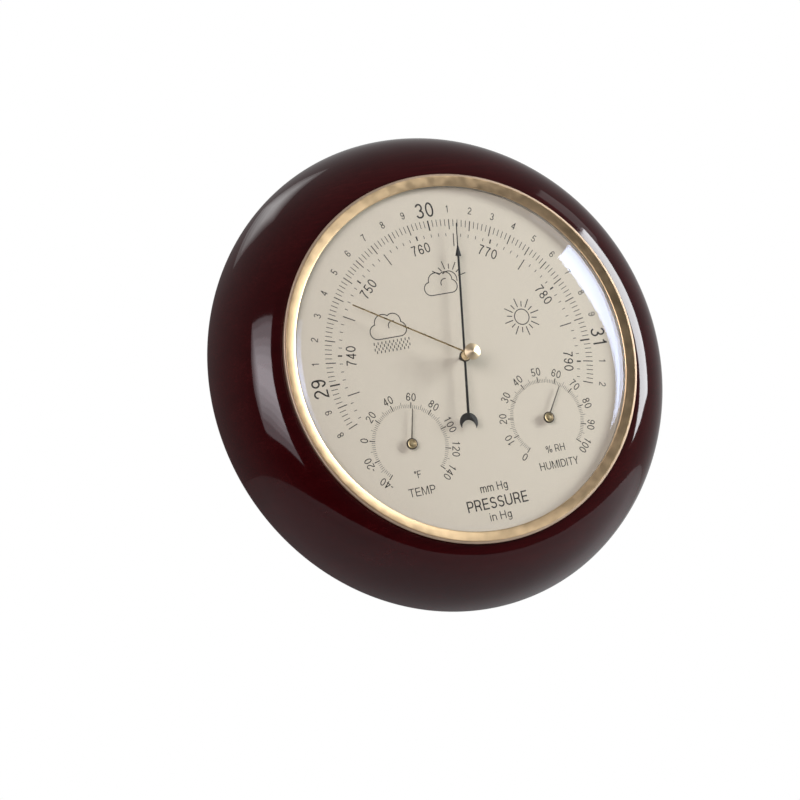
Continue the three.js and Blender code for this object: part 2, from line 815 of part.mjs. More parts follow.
function capsuleProfile() {
  const middle = (capsuleBack + capsuleFront) / 2;
  const diaphragmFront = capsuleFront - capsuleBoss;
  const firstWave = capsuleStudRadius + waveInset;
  const lastWave = capsuleRadius - waveMargin;
  const back = [];
  const front = [];
  for (let i = 0; i < 2 * waveCount; i += 1) {
    const radius = firstWave + ((lastWave - firstWave) * i) / (2 * waveCount - 1);
    const sunk = i % 2 === 1 ? waveDepth : 0;
    back.push([radius, capsuleBack + sunk]);
    front.push([radius, diaphragmFront - sunk]);
  }
  return [
    [0, baseFront],
    [capsuleStudRadius, baseFront],
    [capsuleStudRadius, capsuleBack],
    ...back,
    [capsuleRadius, middle - capsuleRim / 2],
    [capsuleRadius, middle + capsuleRim / 2],
    ...front.reverse(),
    [capsuleStudRadius, diaphragmFront],
    [capsuleStudRadius, capsuleFront],
    [0, capsuleFront],
  ];
}

function capsulePost() {
  const foot = capsuleFront + postFootHeight;
  const profile = [
    [0, capsuleFront],
    [postFoot, capsuleFront],
    [postFoot, foot],
    [postRadius, foot],
    [postRadius, postFront],
    [0, postFront],
  ];
  return turned(profile, SMALL);
}

// Rocker: drawn about its own axis, which lies along x

const noseBack = tailPinFront - noseHeight;
const noseBottom = tailPinRadius + lift; // above the tail pin's axis, level with the rocker's
const armSlotHeight = armStandoff + armSlotMargin;
const armSlotMiddle = -crankLength + armStandoff / 2;

function rocker() {
  const beyond = earThickness / 2 + rockerEnd;
  const ends = [[earPlaces[0] - beyond, 0, 0], [earPlaces[1] + beyond, 0, 0]];
  const shaft = rod(...ends, rockerRadius, rockerRadius, TINY);
  const crankOutline = roundedOutline([[0, 0], [0, crankLength]], crankTip);
  const crank = sweptAlongX(crankOutline, -crankWidth / 2, crankWidth / 2);
  const [armLeft, armRight] = [tailPlace[0] - armWidth / 2, tailPlace[0] + armWidth / 2];
  const elbow = [rockerDepth - plateFront - elbowReach, armStandoff];
  const tip = [rockerDepth - noseBack - rooted, armStandoff];
  const lower = sweptAlongX(roundedOutline([[0, 0], elbow], armThickness / 2), armLeft, armRight);
  const upper = sweptAlongX(roundedOutline([elbow, tip], armThickness / 2), armLeft, armRight);
  const noseTop = armStandoff + armThickness / 4;
  const nose = new THREE.BoxGeometry(armWidth, noseHeight, noseTop - noseBottom);
  nose.translate(tailPlace[0], -(noseBack + noseHeight / 2 - rockerDepth), (noseTop + noseBottom) / 2);
  const hubs = [
    rod([-crankWidth / 2, 0, 0], [crankWidth / 2, 0, 0], rockerHub, rockerHub, TINY),
    rod([armLeft, 0, 0], [armRight, 0, 0], rockerHub, rockerHub, TINY),
  ];
  return shaped(shaft, { add: [crank, ...hubs, lower, upper, closed(nose)] });
}

// Gears

// One tooth's flanks and tip, as [radius, degrees] from its middle, from its widths as shares of the pitch
function toothOutline(pitchRadius, pitchAngle, widths) {
  const [atRoot, atPitch, atTip] = widths.map((share) => (share * pitchAngle) / 2);
  const root = pitchRadius - dedendum * gearModule;
  const tip = pitchRadius + addendum * gearModule;
  const rising = [[root, -atRoot], [pitchRadius, -atPitch], [tip, -atTip]];
  return [...rising, [tip, atTip], [pitchRadius, atPitch], [root, atRoot]];
}

const pinionToothWidths = [0.5, 0.38, 0.14];
const sectorToothWidths = [0.5, 0.36, 0.14];

function pinionOutline() {
  const pitchAngle = 360 / pinionTeeth;
  const points = [];
  for (let i = 0; i < pinionTeeth; i += 1) {
    for (const [radius, angle] of toothOutline(pinionPitchRadius, pitchAngle, pinionToothWidths)) {
      points.push(polar(radius, i * pitchAngle + angle));
    }
  }
  return polygon(points);
}

// The window between the sector's two spokes
function sectorWindow(halfSpan) {
  const outer = sectorPitchRadius - dedendum * gearModule - sectorRim;
  const inner = sectorHub + sectorSpoke + windowHub;
  const half = halfSpan - THREE.MathUtils.radToDeg(sectorSpoke / outer);
  const points = [];
  for (let i = 0; i <= arcSteps; i += 1) points.push(polar(outer, -half + (2 * half * i) / arcSteps));
  return [...points, polar(inner, half * windowTaper), polar(inner, -half * windowTaper)];
}

// The sector is drawn with its teeth at the top: the middle of its rim is a gap between two teeth
function sectorOutline() {
  const pitchAngle = 360 / sectorWheelTeeth;
  const halfSpan = (sectorTeeth * pitchAngle) / 2;
  const points = [];
  for (let i = 0; i < sectorTeeth; i += 1) {
    const middle = (i + 0.5) * pitchAngle - halfSpan;
    for (const [radius, angle] of toothOutline(sectorPitchRadius, pitchAngle, sectorToothWidths)) {
      points.push(polar(radius, middle + angle));
    }
  }
  const hubStart = halfSpan + sectorShoulder;
  for (let i = 0; i <= arcSteps; i += 1) {
    points.push(polar(sectorHub + sectorHubMargin, hubStart + ((360 - 2 * hubStart) * i) / arcSteps));
  }
  const outline = polygon(points);
  outline.holes.push(polygon(sectorWindow(halfSpan)));
  return outline;
}

const sectorTurn = pivotAngle - 180; // points the sector's rim at the pointer's arbor

function sectorGear() {
  const blade = sheet(sectorOutline(), sectorBack, sectorFront);
  const hub = disc(sectorHub, sectorBack - sectorHubProud, sectorFront + sectorHubProud, TINY);
  const pivot = disc(sectorPivot, plateBack + pivotInset, bridgeFront - pivotInset, TINY);
  const pinPlace = polar(tailLength, 90 - sectorTurn);
  const tail = sheet(roundedOutline([[0, 0], pinPlace], tailBoss), sectorBack, sectorFront);
  const pin = roundAt(tailPinRadius, sectorFront - rooted, tailPinFront, ...pinPlace, TINY);
  return shaped(blade, { add: [hub, pivot, tail, pin] });
}

const arborFront = dialFace + pointerHeight + pointerThickness + arborInHub;

function pointerArbor() {
  const pinionBack = sectorBack - (pinionFace - sectorThickness) / 2;
  const pinion = sheet(pinionOutline(), pinionBack, pinionBack + pinionFace);
  const colletBack = hairspringMiddle - colletHeight / 2;
  const collet = disc(colletRadius, colletBack, colletBack + colletHeight, SMALL);
  const arbor = disc(pointerArborRadius, plateBack + pivotInset, arborFront, TINY);
  return shaped(arbor, { add: [pinion, collet] });
}

// Spirals: a flat ribbon whose middle line grows evenly from the inner radius and ends beside its anchor

function spiralPoint(spring, turn, offset = 0) {
  const end = spring.anchor - anchorPastEnd(spring);
  return polar(spring.inner + spring.pitch * turn + offset, end + 360 * (turn - spring.turns));
}

function outerRadius({ inner, pitch, turns }) {
  return inner + pitch * turns;
}

// How far past the ribbon's end its anchor stud stands, in degrees
function anchorPastEnd(spring) {
  return THREE.MathUtils.radToDeg((anchorRadius + turnedGap) / outerRadius(spring));
}

function anchorPlace(spring) {
  return polar(outerRadius(spring), spring.anchor);
}

function spiralOutline(spring) {
  const steps = Math.round(spring.turns * springStepsPerTurn);
  const half = spring.ribbon / 2;
  const outer = [];
  const inner = [];
  for (let i = 0; i <= steps; i += 1) {
    const turn = (spring.turns * i) / steps;
    outer.push(spiralPoint(spring, turn, half));
    inner.push(spiralPoint(spring, turn, -half));
  }
  return [...outer, ...inner.reverse()];
}

// The least distance between neighbouring turns of the ribbon, measured between outline points
function leastGap(spring) {
  const steps = Math.round(spring.turns * springStepsPerTurn);
  let least = Infinity;
  for (let i = 0; i <= steps - springStepsPerTurn; i += 1) {
    const [x, z] = spiralPoint(spring, (spring.turns * i) / steps, spring.ribbon / 2);
    for (let j = i + springStepsPerTurn / 2; j <= steps; j += 1) {
      const [nx, nz] = spiralPoint(spring, (spring.turns * j) / steps, -spring.ribbon / 2);
      least = Math.min(least, Math.hypot(nx - x, nz - z));
    }
  }
  return least;
}

const hairspringMiddle = (plateFront + sectorBack) / 2;
const hairspringBack = hairspringMiddle - hairspring.height / 2;

function pointerHairspring() {
  return sheet(polygon(spiralOutline(hairspring)), hairspringBack, hairspringBack + hairspring.height);
}

// Barometer's pointer, drawn pointing up

function pressurePointer() {
  const back = dialFace + pointerHeight;
  const front = back + pointerThickness;
  const tailEnd = crescentRadius - crescentCentre - tailIntoCrescent;
  const outline = polygon([
    [-tailHalfWidth, tailEnd],
    [tailHalfWidth, tailEnd],
    [shaftHalfWidth, 0],
    [shaftHalfWidth, arrowBase],
    [arrowHalfWidth, arrowBase],
    [needleHalfWidth, arrowBase + arrowLength],
    [needleTipHalfWidth, pointerTip],
    [-needleTipHalfWidth, pointerTip],
    [-needleHalfWidth, arrowBase + arrowLength],
    [-arrowHalfWidth, arrowBase],
    [-shaftHalfWidth, arrowBase],
    [-shaftHalfWidth, 0],
  ]);
  const moon = roundAt(crescentRadius, back, front, 0, -crescentCentre, MIDDLE);
  const bite = roundAt(crescentCutRadius, back - overcut, front + overcut, 0, -crescentCutCentre, MIDDLE);
  const boss = disc(hubRadius, back, front, SMALL);
  const bore = disc(hubSleeve + turnedGap, back - overcut, front + overcut, SMALL);
  return shaped(sheet(outline, back, front), { add: [moon, boss], cut: [bite, bore] });
}

// A hub is a turned disc in front of its pointer, with a sleeve that runs back over the arbor's end
function pointerHub() {
  const face = dialFace + pointerHeight + pointerThickness;
  const bore = pointerArborRadius + turnedGap;
  const profile = [
    [0, arborFront + boreEnd],
    [bore, arborFront + boreEnd],
    [bore, face - hubSleeveLength],
    [hubSleeve, face - hubSleeveLength],
    [hubSleeve, face],
    [hubRadius, face],
    [hubRadius, face + hubThickness - edgeBreak],
    [hubRadius - edgeBreak, face + hubThickness],
    [0, face + hubThickness],
  ];
  return turned(profile, SMALL);
}

// Set hand, shaft, washer and knob

const collarBack = dialFace + setHandHubHeight + setHandRod + collarCover - collarThickness;
const collarFront = collarBack + collarThickness;
const washerBack = glassTop + turnedGap;
const knobBack = washerBack + washerThickness;
const knobBore = setShaftRadius + turnedGap;
const setShaftFront = knobBack + knobBoreDepth - turnedGap;

function setHand() {
  const bore = setShaftRadius + turnedGap;
  const collar = disc(collarRadius, collarBack, collarFront, SMALL);
  const start = [0, -(dialFace + setHandHubHeight), bore + setHandRoot];
  const tipDepth = domeAt(setHandReach, glassThickness) - setHandGlassGap - setHandTipRod;
  const end = [0, -tipDepth, setHandReach];
  const hand = rod(start, end, setHandRod, setHandTipRod, TINY);
  const shaftBore = disc(bore, collarBack - overcut, collarFront + overcut, SMALL);
  return shaped(collar, { add: [hand], cut: [shaftBore] });
}

function setShaft() {
  const profile = [
    [0, collarBack - setShaftHeadHeight],
    [setShaftHead, collarBack - setShaftHeadHeight],
    [setShaftHead, collarBack],
    [setShaftRadius, collarBack],
    [setShaftRadius, setShaftFront],
    [0, setShaftFront],
  ];
  return turned(profile, SMALL);
}

function knobWasher() {
  return ringOf(knobBore, washerRadius, washerBack, knobBack, SMALL);
}

function setKnob() {
  const rim = knobBack + knobFlare;
  const profile = [
    [0, knobBack + knobBoreDepth],
    [knobBore, knobBack + knobBoreDepth],
    [knobBore, knobBack],
    [knobNeck, knobBack],
    [knobRadius, rim - edgeBreak],
    [knobRadius, rim],
    [0, rim + knobCone],
  ];
  return turned(profile, KNOB);
}

// Thermometer and hygrometer, each drawn about its own arbor

const subDialPlaces = [[-subDialOffset, -subDialOffset], [subDialOffset, -subDialOffset]];
const strapBack = dialBack - strapDepth;
const coilBack = strapBack + strapSheet + coilLift;
const coilFront = coilBack + bimetal.height;
const subArborFront = dialFace + subNeedleHeight + subNeedleThickness + arborInHub;

function strap() {
  const [far, near, foot] = [strapSpan / 2, strapSpan / 2 - strapSheet, strapSpan / 2 + strapFoot];
  const front = dialBack - strapSheet;
  const outline = polygon([
    [-far, -strapBack], [-far, -front], [-foot, -front], [-foot, -dialBack], [-near, -dialBack],
    [-near, -strapBack - strapSheet], [near, -strapBack - strapSheet], [near, -dialBack], [foot, -dialBack],
    [foot, -front], [far, -front], [far, -strapBack],
  ]);
  const bent = new THREE.ExtrudeGeometry(outline, { depth: strapWidth, bevelEnabled: false });
  bent.translate(0, 0, -strapWidth / 2);
  const studBack = strapBack + strapSheet - rooted;
  const stud = roundAt(anchorRadius, studBack, coilFront, ...anchorPlace(bimetal), TINY);
  const through = [strapBack - overcut, strapBack + strapSheet + overcut];
  const bearing = roundAt(subArborRadius + pivotGap, ...through, 0, 0, TINY);
  return shaped(closed(bent), { add: [stud], cut: [bearing] });
}

function bimetalCoil() {
  return sheet(polygon(spiralOutline(bimetal)), coilBack, coilFront);
}

function subArbor() {
  const profile = [
    [0, strapBack + pivotInset],
    [subArborRadius, strapBack + pivotInset],
    [subArborRadius, coilBack],
    [subColletRadius, coilBack],
    [subColletRadius, coilFront],
    [subArborRadius, coilFront],
    [subArborRadius, subArborFront],
    [0, subArborFront],
  ];
  return turned(profile, TINY);
}

function subNeedle() {
  const back = dialFace + subNeedleHeight;
  const front = back + subNeedleThickness;
  const outline = polygon([
    [-subNeedleHalfWidth, 0],
    [subNeedleHalfWidth, 0],
    [subNeedleTipHalfWidth, subNeedleReach],
    [-subNeedleTipHalfWidth, subNeedleReach],
  ]);
  const boss = disc(subNeedleTail, back, front, SMALL);
  const bore = disc(subHubSleeve + turnedGap, back - overcut, front + overcut, SMALL);
  return shaped(sheet(outline, back, front), { add: [boss], cut: [bore] });
}

function subHub() {
  const face = dialFace + subNeedleHeight + subNeedleThickness;
  const bore = subArborRadius + turnedGap;
  const front = face + subHubThickness;
  const cup = front - subHubCup;
  const profile = [
    [0, subArborFront + boreEnd],
    [bore, subArborFront + boreEnd],
    [bore, dialFace + subSleeveHeight],
    [subHubSleeve, dialFace + subSleeveHeight],
    [subHubSleeve, face],
    [hubRadius, face],
    [hubRadius, front],
    [hubRadius - subHubWall, front],
    [hubRadius - subHubWall, cup],
    [subHubBoss, cup],
    [subHubBoss, front],
    [0, front],
  ];
  return turned(profile, SMALL);
}

function subInstrument(name, place, angle) {
  const instrument = together(
    piece(`${name}_bracket`, strap(), steel),
    piece(`${name}_coil`, bimetalCoil(), springBronze),
    piece(`${name}_arbor`, subArbor(), steel),
    piece(`${name}_needle`, subNeedle(), greySteel, [0, 0], angle),
    piece(`${name}_hub`, subHub(), brass, [0, 0], angle),
  );
  instrument.position.set(place[0], 0, place[1]);
  return instrument;
}

// Zero adjusting screw, with a driver slot behind

function adjustingScrew() {
  const back = panBack - adjusterProud;
  const body = disc(adjusterRadius, back, baseFront - lift, SMALL);
  const across = 2 * (adjusterRadius + overcut);
  const slot = block(across, back - overcut, back + slotCutDepth, slotCutWidth, 0, 0);
  return shaped(body, { cut: [slot] });
}

// Assembly

function woodAndHanger() {
  return together(
    piece('wood_ring', woodRing(), mahogany),
    piece('hanger_plate', hangerPlate(), brass),
    ...hangerScrewPlaces().map((place, i) => piece(`hanger_screw_${i + 1}`, hangerScrew(), steel, place)),
  );
}

function caseAndGlass() {
  const clips = clipAngles.flatMap((angle, i) => [
    piece(`case_clip_${i + 1}`, caseClip(), steel, [0, 0], angle),
    piece(
      `clip_screw_${i + 1}`,
      panScrew(clipScrewSize, panBack - clipThickness, true),
      steel,
      polar(clipScrewRadius, angle),
    ),
  ]);
  return together(
    ...clips,
    piece('case_pan', casePan(), panFinish),
    piece('dial_plate', dialPlate(), printedDial),
    piece('lens_gasket', lensGasket(), paleRubber),
    piece('lens', turnedRing(lensProfile(), CASE), clearGlass),
    piece('bezel', bezel(), brass),
  );
}

function movementFrame() {
  const columns = pillarAngles.flatMap((angle, i) => {
    const place = polar(pillarCircle, angle);
    return [
      piece(`base_screw_${i + 1}`, panScrew(baseScrewSize, panBack, true), steel, place),
      piece(`pillar_${i + 1}`, pillar(), brass, place),
      piece(`plate_screw_${i + 1}`, panScrew(plateScrewSize, plateFront, false), steel, place),
    ];
  });
  const bridge = bridgePlaces.flatMap((place, i) => [
    piece(`bridge_pillar_${i + 1}`, bridgePillar(), brass, place),
    piece(`bridge_screw_${i + 1}`, panScrew(bridgeScrewSize, bridgeFront, false), steel, place),
  ]);
  return together(
    piece('movement_base', movementBase(), brass),
    ...columns,
    piece('mechanism_plate', mechanismPlate(), brass),
    piece('bridge_plate', bridgePlate(), brass),
    ...bridge,
    piece('adjusting_screw', adjustingScrew(), brass),
  );
}

function pressureTrain() {
  const rockerPiece = piece('rocker', rocker(), steel);
  rockerPiece.position.set(0, -rockerDepth, -crankLength);
  return together(
    piece('aneroid_capsule', turned(capsuleProfile(), MIDDLE), nickel),
    piece('capsule_post', capsulePost(), brass),
    rockerPiece,
    piece('sector_gear', sectorGear(), brass, pivotPlace, sectorTurn),
    piece('pointer_arbor', pointerArbor(), steel, [0, 0], pivotAngle),
    piece('pointer_hairspring', pointerHairspring(), springBronze),
    piece('pressure_pointer', pressurePointer(), blackened, [0, 0], pointerAngle),
    piece('pointer_hub', pointerHub(), brass, [0, 0], pointerAngle),
  );
}

function setHandAndKnob() {
  return together(
    piece('set_hand', setHand(), brass, [0, 0], setHandAngle),
    piece('set_shaft', setShaft(), brass),
    piece('knob_washer', knobWasher(), brass),
    piece('set_knob', setKnob(), brass),
  );
}

console.log(`pointer hairspring: least gap to itself ${leastGap(hairspring).toFixed(2)} mm`);
console.log(`bimetal coils: least gap to themselves ${leastGap(bimetal).toFixed(2)} mm`);

const weatherStation = together(
  woodAndHanger(),
  caseAndGlass(),
  movementFrame(),
  pressureTrain(),
  setHandAndKnob(),
  subInstrument('thermo', subDialPlaces[0], thermoAngle),
  subInstrument('hygro', subDialPlaces[1], hygroAngle),
);
weatherStation.position.z = -hookZ;

export default weatherStation;
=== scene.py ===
# A wall weather station in a pale studio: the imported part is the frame, and the seen pieces get their fine
# shapes, their print and their finishes here.
# Sizes are millimetres on the dial: across, up from the dial's axis, and depth in front of the wall.
# An angle on the dial is in degrees clockwise from the top, seen from the front.

import json
import math
from collections import namedtuple

import bmesh
import bpy
from mathutils import Matrix, Vector


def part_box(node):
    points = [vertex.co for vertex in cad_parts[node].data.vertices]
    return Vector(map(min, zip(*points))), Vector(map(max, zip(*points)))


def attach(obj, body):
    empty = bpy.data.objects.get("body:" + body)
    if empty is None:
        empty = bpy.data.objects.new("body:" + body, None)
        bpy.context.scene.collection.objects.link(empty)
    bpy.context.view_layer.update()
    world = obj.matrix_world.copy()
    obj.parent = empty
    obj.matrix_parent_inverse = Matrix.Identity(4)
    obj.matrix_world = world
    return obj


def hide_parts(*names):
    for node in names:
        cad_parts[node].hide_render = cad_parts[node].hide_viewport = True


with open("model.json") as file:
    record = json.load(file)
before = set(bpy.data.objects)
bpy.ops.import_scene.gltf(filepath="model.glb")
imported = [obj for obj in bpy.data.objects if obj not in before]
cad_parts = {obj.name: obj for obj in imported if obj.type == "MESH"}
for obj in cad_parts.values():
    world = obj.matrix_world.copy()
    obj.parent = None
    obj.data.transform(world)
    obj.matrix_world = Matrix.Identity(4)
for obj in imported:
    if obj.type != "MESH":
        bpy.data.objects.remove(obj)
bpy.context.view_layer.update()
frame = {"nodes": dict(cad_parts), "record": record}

MM = 0.001
bezel_low, bezel_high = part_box("bezel")
AXIS_Z = (bezel_low.z + bezel_high.z) / 2

# From a drawing of (across, up, depth) in millimetres to the row frame in metres
TO_ROW = Matrix(((MM, 0, 0, 0), (0, 0, -MM, 0), (0, MM, 0, AXIS_Z), (0, 0, 0, 1)))

LARGE = 288  # steps round a large turned piece
SMALL = 72  # steps round a small one
ARC = 10  # steps along a small arc
NOTHING = 1e-6  # a length too small to count

Extent = namedtuple("Extent", "left right back front bottom top")


def extent(node):
    """A node's box in the drawing's millimetres."""
    low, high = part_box(node)
    across = (low.x / MM, high.x / MM)
    return Extent(*across, -high.y / MM, -low.y / MM, (low.z - AXIS_Z) / MM, (high.z - AXIS_Z) / MM)


def middle(node):
    box = extent(node)
    return (box.left + box.right) / 2, (box.bottom + box.top) / 2


def polar(radius, degrees):
    angle = math.radians(degrees)
    return radius * math.sin(angle), radius * math.cos(angle)


def linked(name, data):
    made = bpy.data.objects.new(name, data)
    bpy.context.collection.objects.link(made)
    return made


# Finishes


def add_node(tree, kind, inputs=None, **settings):
    """A new shader node, whose sockets take values or other nodes' outputs."""
    made = tree.nodes.new(kind)
    for key, value in settings.items():
        setattr(made, key, value)
    for key, value in (inputs or {}).items():
        if isinstance(value, bpy.types.NodeSocket):
            tree.links.new(value, made.inputs[key])
        else:
            made.inputs[key].default_value = value
    return made


class Finish:
    """A procedural material: its Principled shader and the nodes that feed it."""

    def __init__(self, name, roughness=0.5, metallic=0.0):
        self.material = bpy.data.materials.new(name)
        self.material.use_nodes = True
        self.tree = self.material.node_tree
        self.shader = self.tree.nodes["Principled BSDF"]
        self.set("Roughness", roughness)
        self.set("Metallic", metallic)

    def set(self, socket, value):
        self.shader.inputs[socket].default_value = value

    def node(self, kind, inputs=None, **settings):
        return add_node(self.tree, kind, inputs, **settings)

    def feed(self, output, socket):
        self.tree.links.new(output, self.shader.inputs[socket])

    def coordinates(self, scale=(1, 1, 1), kind="Object", location=(0, 0, 0)):
        """Coordinates in metres on the object, or from 0 to 1 across its box, stretched by a scale."""
        source = self.node("ShaderNodeTexCoord").outputs[kind]
        inputs = {"Vector": source, "Scale": scale, "Location": location}
        return self.node("ShaderNodeMapping", inputs).outputs["Vector"]

    def noise(self, coordinates, scale=1.0, detail=3.0, roughness=0.5, distortion=0.0):
        inputs = {"Vector": coordinates, "Scale": scale, "Detail": detail, "Roughness": roughness}
        inputs["Distortion"] = distortion
        return self.node("ShaderNodeTexNoise", inputs).outputs["Fac"]

    def between(self, share, low, high, first=0.35, last=0.65):
        """A number from low to high as the share goes from first to last."""
        inputs = {"Value": share, "From Min": first, "From Max": last, "To Min": low, "To Max": high}
        return self.node("ShaderNodeMapRange", inputs).outputs["Result"]

    def ramp(self, share, stops):
        made = self.node("ShaderNodeValToRGB", {"Fac": share})
        elements = made.color_ramp.elements
        while len(elements) < len(stops):
            elements.new(1)
        for element, (position, colour) in zip(elements, stops):
            element.position = position
            element.color = (*colour, 1)
        return made.outputs["Color"]

    def bump(self, height, distance, under=None):
        inputs = {"Height": height, "Distance": distance}
        if under is not None:
            inputs["Normal"] = under
        return self.node("ShaderNodeBump", inputs).outputs["Normal"]

    def mottled(self, colour, spread, scale):
        """The base colour, a little darker and lighter from place to place."""
        share = self.noise(self.coordinates(), scale, 4.0)
        dark = tuple(part * (1 - spread) for part in colour)
        light = tuple(min(part * (1 + spread), 1) for part in colour)
        self.feed(self.ramp(share, [(0.35, dark), (0.65, light)]), "Base Color")
        return share


WOOD_DARK = (0.024, 0.0010, 0.0016)
WOOD_MIDDLE = (0.031, 0.0015, 0.0022)
WOOD_LIGHT = (0.040, 0.0027, 0.0032)
WOOD_BANDS = (9, 90, 90)  # stretch of the grain's bands, along the grain and across it
WOOD_PORES = (45, 1100, 1100)
WOOD_WAVE = 0.00035  # metres of slow waviness in the coat
WOOD_SKIN = 0.000004  # and of fine unevenness


def lacquered_wood(name):
    """Dark red-brown stained wood under a deep clear coat, which is not quite flat."""
    finish = Finish(name, roughness=0.42)
    bands = finish.noise(finish.coordinates(WOOD_BANDS), detail=5.0, roughness=0.6, distortion=0.5)
    pores = finish.noise(finish.coordinates(WOOD_PORES), detail=2.0)
    shares = finish.node("ShaderNodeMath", {0: bands, 1: pores}, operation="MULTIPLY").outputs["Value"]
    stops = [(0.12, WOOD_DARK), (0.27, WOOD_MIDDLE), (0.42, WOOD_LIGHT)]
    finish.feed(finish.ramp(shares, stops), "Base Color")
    waves = finish.bump(finish.noise(finish.coordinates(), 26, 2.0), WOOD_WAVE)
    skin = finish.bump(finish.noise(finish.coordinates(), 420, 2.0), WOOD_SKIN, under=waves)
    finish.feed(skin, "Normal")
    finish.feed(skin, "Coat Normal")
    finish.set("Specular IOR Level", 0.0)
    finish.set("Coat Weight", 1.0)
    finish.set("Coat Roughness", 0.06)
    finish.set("Coat IOR", 1.5)
    return finish.material


def plain(name, colour, roughness, metallic, spread, scale, patchy, grain_scale, grain):
    """One mottled colour with fine grain, and a roughness that varies with the mottling."""
    finish = Finish(name, roughness, metallic)
    share = finish.mottled(colour, spread, scale)
    finish.feed(finish.between(share, roughness * (1 - patchy), roughness * (1 + patchy)), "Roughness")
    finish.feed(finish.bump(finish.noise(finish.coordinates(), grain_scale, 2.0), grain), "Normal")
    return finish.material


def metal(name, colour, roughness, spread=0.06, scale=300, scratch=0.00001, patchy=0.18):
    """Bare or lacquered metal with faint mottling and fine handling marks."""
    return plain(name, colour, roughness, 1.0, spread, scale, patchy, 4 * scale, scratch)


def coating(name, colour, roughness, spread=0.08, scale=220, grain=0.00001):
    """Paint, enamel, rubber or ink: one colour with faint mottling and grain."""
    return plain(name, colour, roughness, 0.0, spread, scale, 0.08, 6 * scale, grain)


MARK_DEPTH = 0.000001  # metres


def turned_metal(name, colour, roughness, anisotropic, marks=0, spread=0.04, turn=0.25):
    """Metal whose gleam follows its turning, with tool marks where their number across the box is given."""
    finish = Finish(name, roughness, 1.0)
    share = finish.mottled(colour, spread, 260)
    finish.feed(finish.between(share, roughness * 0.9, roughness * 1.12), "Roughness")
    if marks:
        centred = finish.coordinates(kind="Generated", location=(-0.5, -0.5, -0.5))
        settings = {"wave_type": "RINGS", "rings_direction": "Y"}
        inputs = {"Vector": centred, "Scale": marks, "Distortion": 0.35, "Detail": 2.0}
        rings = finish.node("ShaderNodeTexWave", inputs, **settings).outputs["Fac"]
        finish.feed(finish.bump(rings, MARK_DEPTH), "Normal")
    tangent = finish.node("ShaderNodeTangent", direction_type="RADIAL", axis="Y").outputs["Tangent"]
    finish.feed(tangent, "Tangent")
    finish.set("Anisotropic", anisotropic)
    finish.set("Anisotropic Rotation", turn)
    return finish.material


GLASS_MIRROR = 0.033  # share of light reflected, seen square on
GLASS_SHEEN = (0.62, 0.72, 1.0)
GLASS_TINT = (0.985, 0.99, 0.985)


def clear_glass(name):
    """Clear glass that lets the view through and adds a reflection, stronger at a flat angle."""
    finish = Finish(name)
    nodes = finish.tree.nodes
    nodes.remove(finish.shader)
    dust = finish.noise(finish.coordinates(), 160, 3.0)
    gloss_roughness = finish.between(dust, 0.012, 0.03)
    facing = finish.node("ShaderNodeLayerWeight", {"Blend": 0.5}).outputs["Facing"]
    steep = finish.node("ShaderNodeMath", {0: facing, 1: 5.0}, operation="POWER").outputs["Value"]
    mirror = finish.between(steep, GLASS_MIRROR, 1.0, 0.0, 1.0)
    through = finish.node("ShaderNodeBsdfTransparent", {"Color": (*GLASS_TINT, 1)}).outputs["BSDF"]
    inputs = {"Roughness": gloss_roughness, "Color": (*GLASS_SHEEN, 1)}
    gloss = finish.node("ShaderNodeBsdfAnisotropic", inputs).outputs["BSDF"]
    mixed = finish.node("ShaderNodeMixShader", {0: mirror, 1: through, 2: gloss}).outputs["Shader"]
    finish.tree.links.new(mixed, nodes["Material Output"].inputs["Surface"])
    return finish.material


bead_brass = metal("satin_brass_bead", (0.58, 0.445, 0.325), 0.5, 0.02, 50, scratch=0.000001, patchy=0.04)
cup_brass = turned_metal("dull_brass_cup", (0.50, 0.40, 0.235), 0.5, 0.2, 9)
knob_brass = turned_metal("turned_brass_knob", (0.88, 0.71, 0.47), 0.40, 0.25, 14)
# Painted shade: a dark ring on each hub's edge stands in for the dark reflection and shadow at the hub's side
painted_shade_rim = coating("painted_shade_hub_rim", (0.035, 0.024, 0.014), 0.45)
rod_brass = metal("brass_rod", (0.62, 0.46, 0.24), 0.28)
ink = coating("brown_grey_ink", (0.036, 0.029, 0.021), 0.6, spread=0.15, scale=2500, grain=0.000002)

SLOT_FINISHES = {
    "mahogany": lacquered_wood("lacquered_mahogany"),
    "hanger_brass": metal("stamped_brass", (0.60, 0.46, 0.24), 0.36, spread=0.12, scale=120),
    "screw_steel": metal("zinc_steel", (0.60, 0.60, 0.59), 0.34, spread=0.1, scale=240),
    "case_metal": metal("pressed_pan", (0.60, 0.49, 0.29), 0.42, spread=0.1, scale=60),
    "printed_dial": coating("cream_dial", (0.815, 0.736, 0.595), 0.55, 0.018, 900, grain=0.000004),
    "gasket_rubber": coating("beige_gasket", (0.42, 0.38, 0.31), 0.75, grain=0.00003),
    "clear_glass": clear_glass("domed_glass"),
    "bezel_brass": turned_metal("satin_brass_band", (0.82, 0.60, 0.35), 0.34, 0.45, spread=0.02, turn=0.0),
    "movement_brass": metal("movement_brass", (0.70, 0.55, 0.28), 0.3),
    "capsule_nickel": metal("nickel", (0.70, 0.68, 0.62), 0.24),
    "arbor_steel": metal("arbor_steel", (0.50, 0.50, 0.50), 0.25),
    "spring_bronze": metal("spring_bronze", (0.58, 0.34, 0.16), 0.32),
    "pointer_black": coating("black_enamel", (0.018, 0.015, 0.011), 0.5),
    "needle_grey": coating("grey_needle_lacquer", (0.115, 0.098, 0.070), 0.45),
    "hub_brass": turned_metal("turned_brass_hub", (0.80, 0.63, 0.40), 0.42, 0.3, 9),
}

for subpart in frame["record"]["subparts"]:
    node = frame["nodes"][subpart["node"]]
    node.data.materials.clear()
    node.data.materials.append(SLOT_FINISHES[subpart["material_slot"]])


# Shapes: every mesh is drawn in millimetres as (across, up, depth)


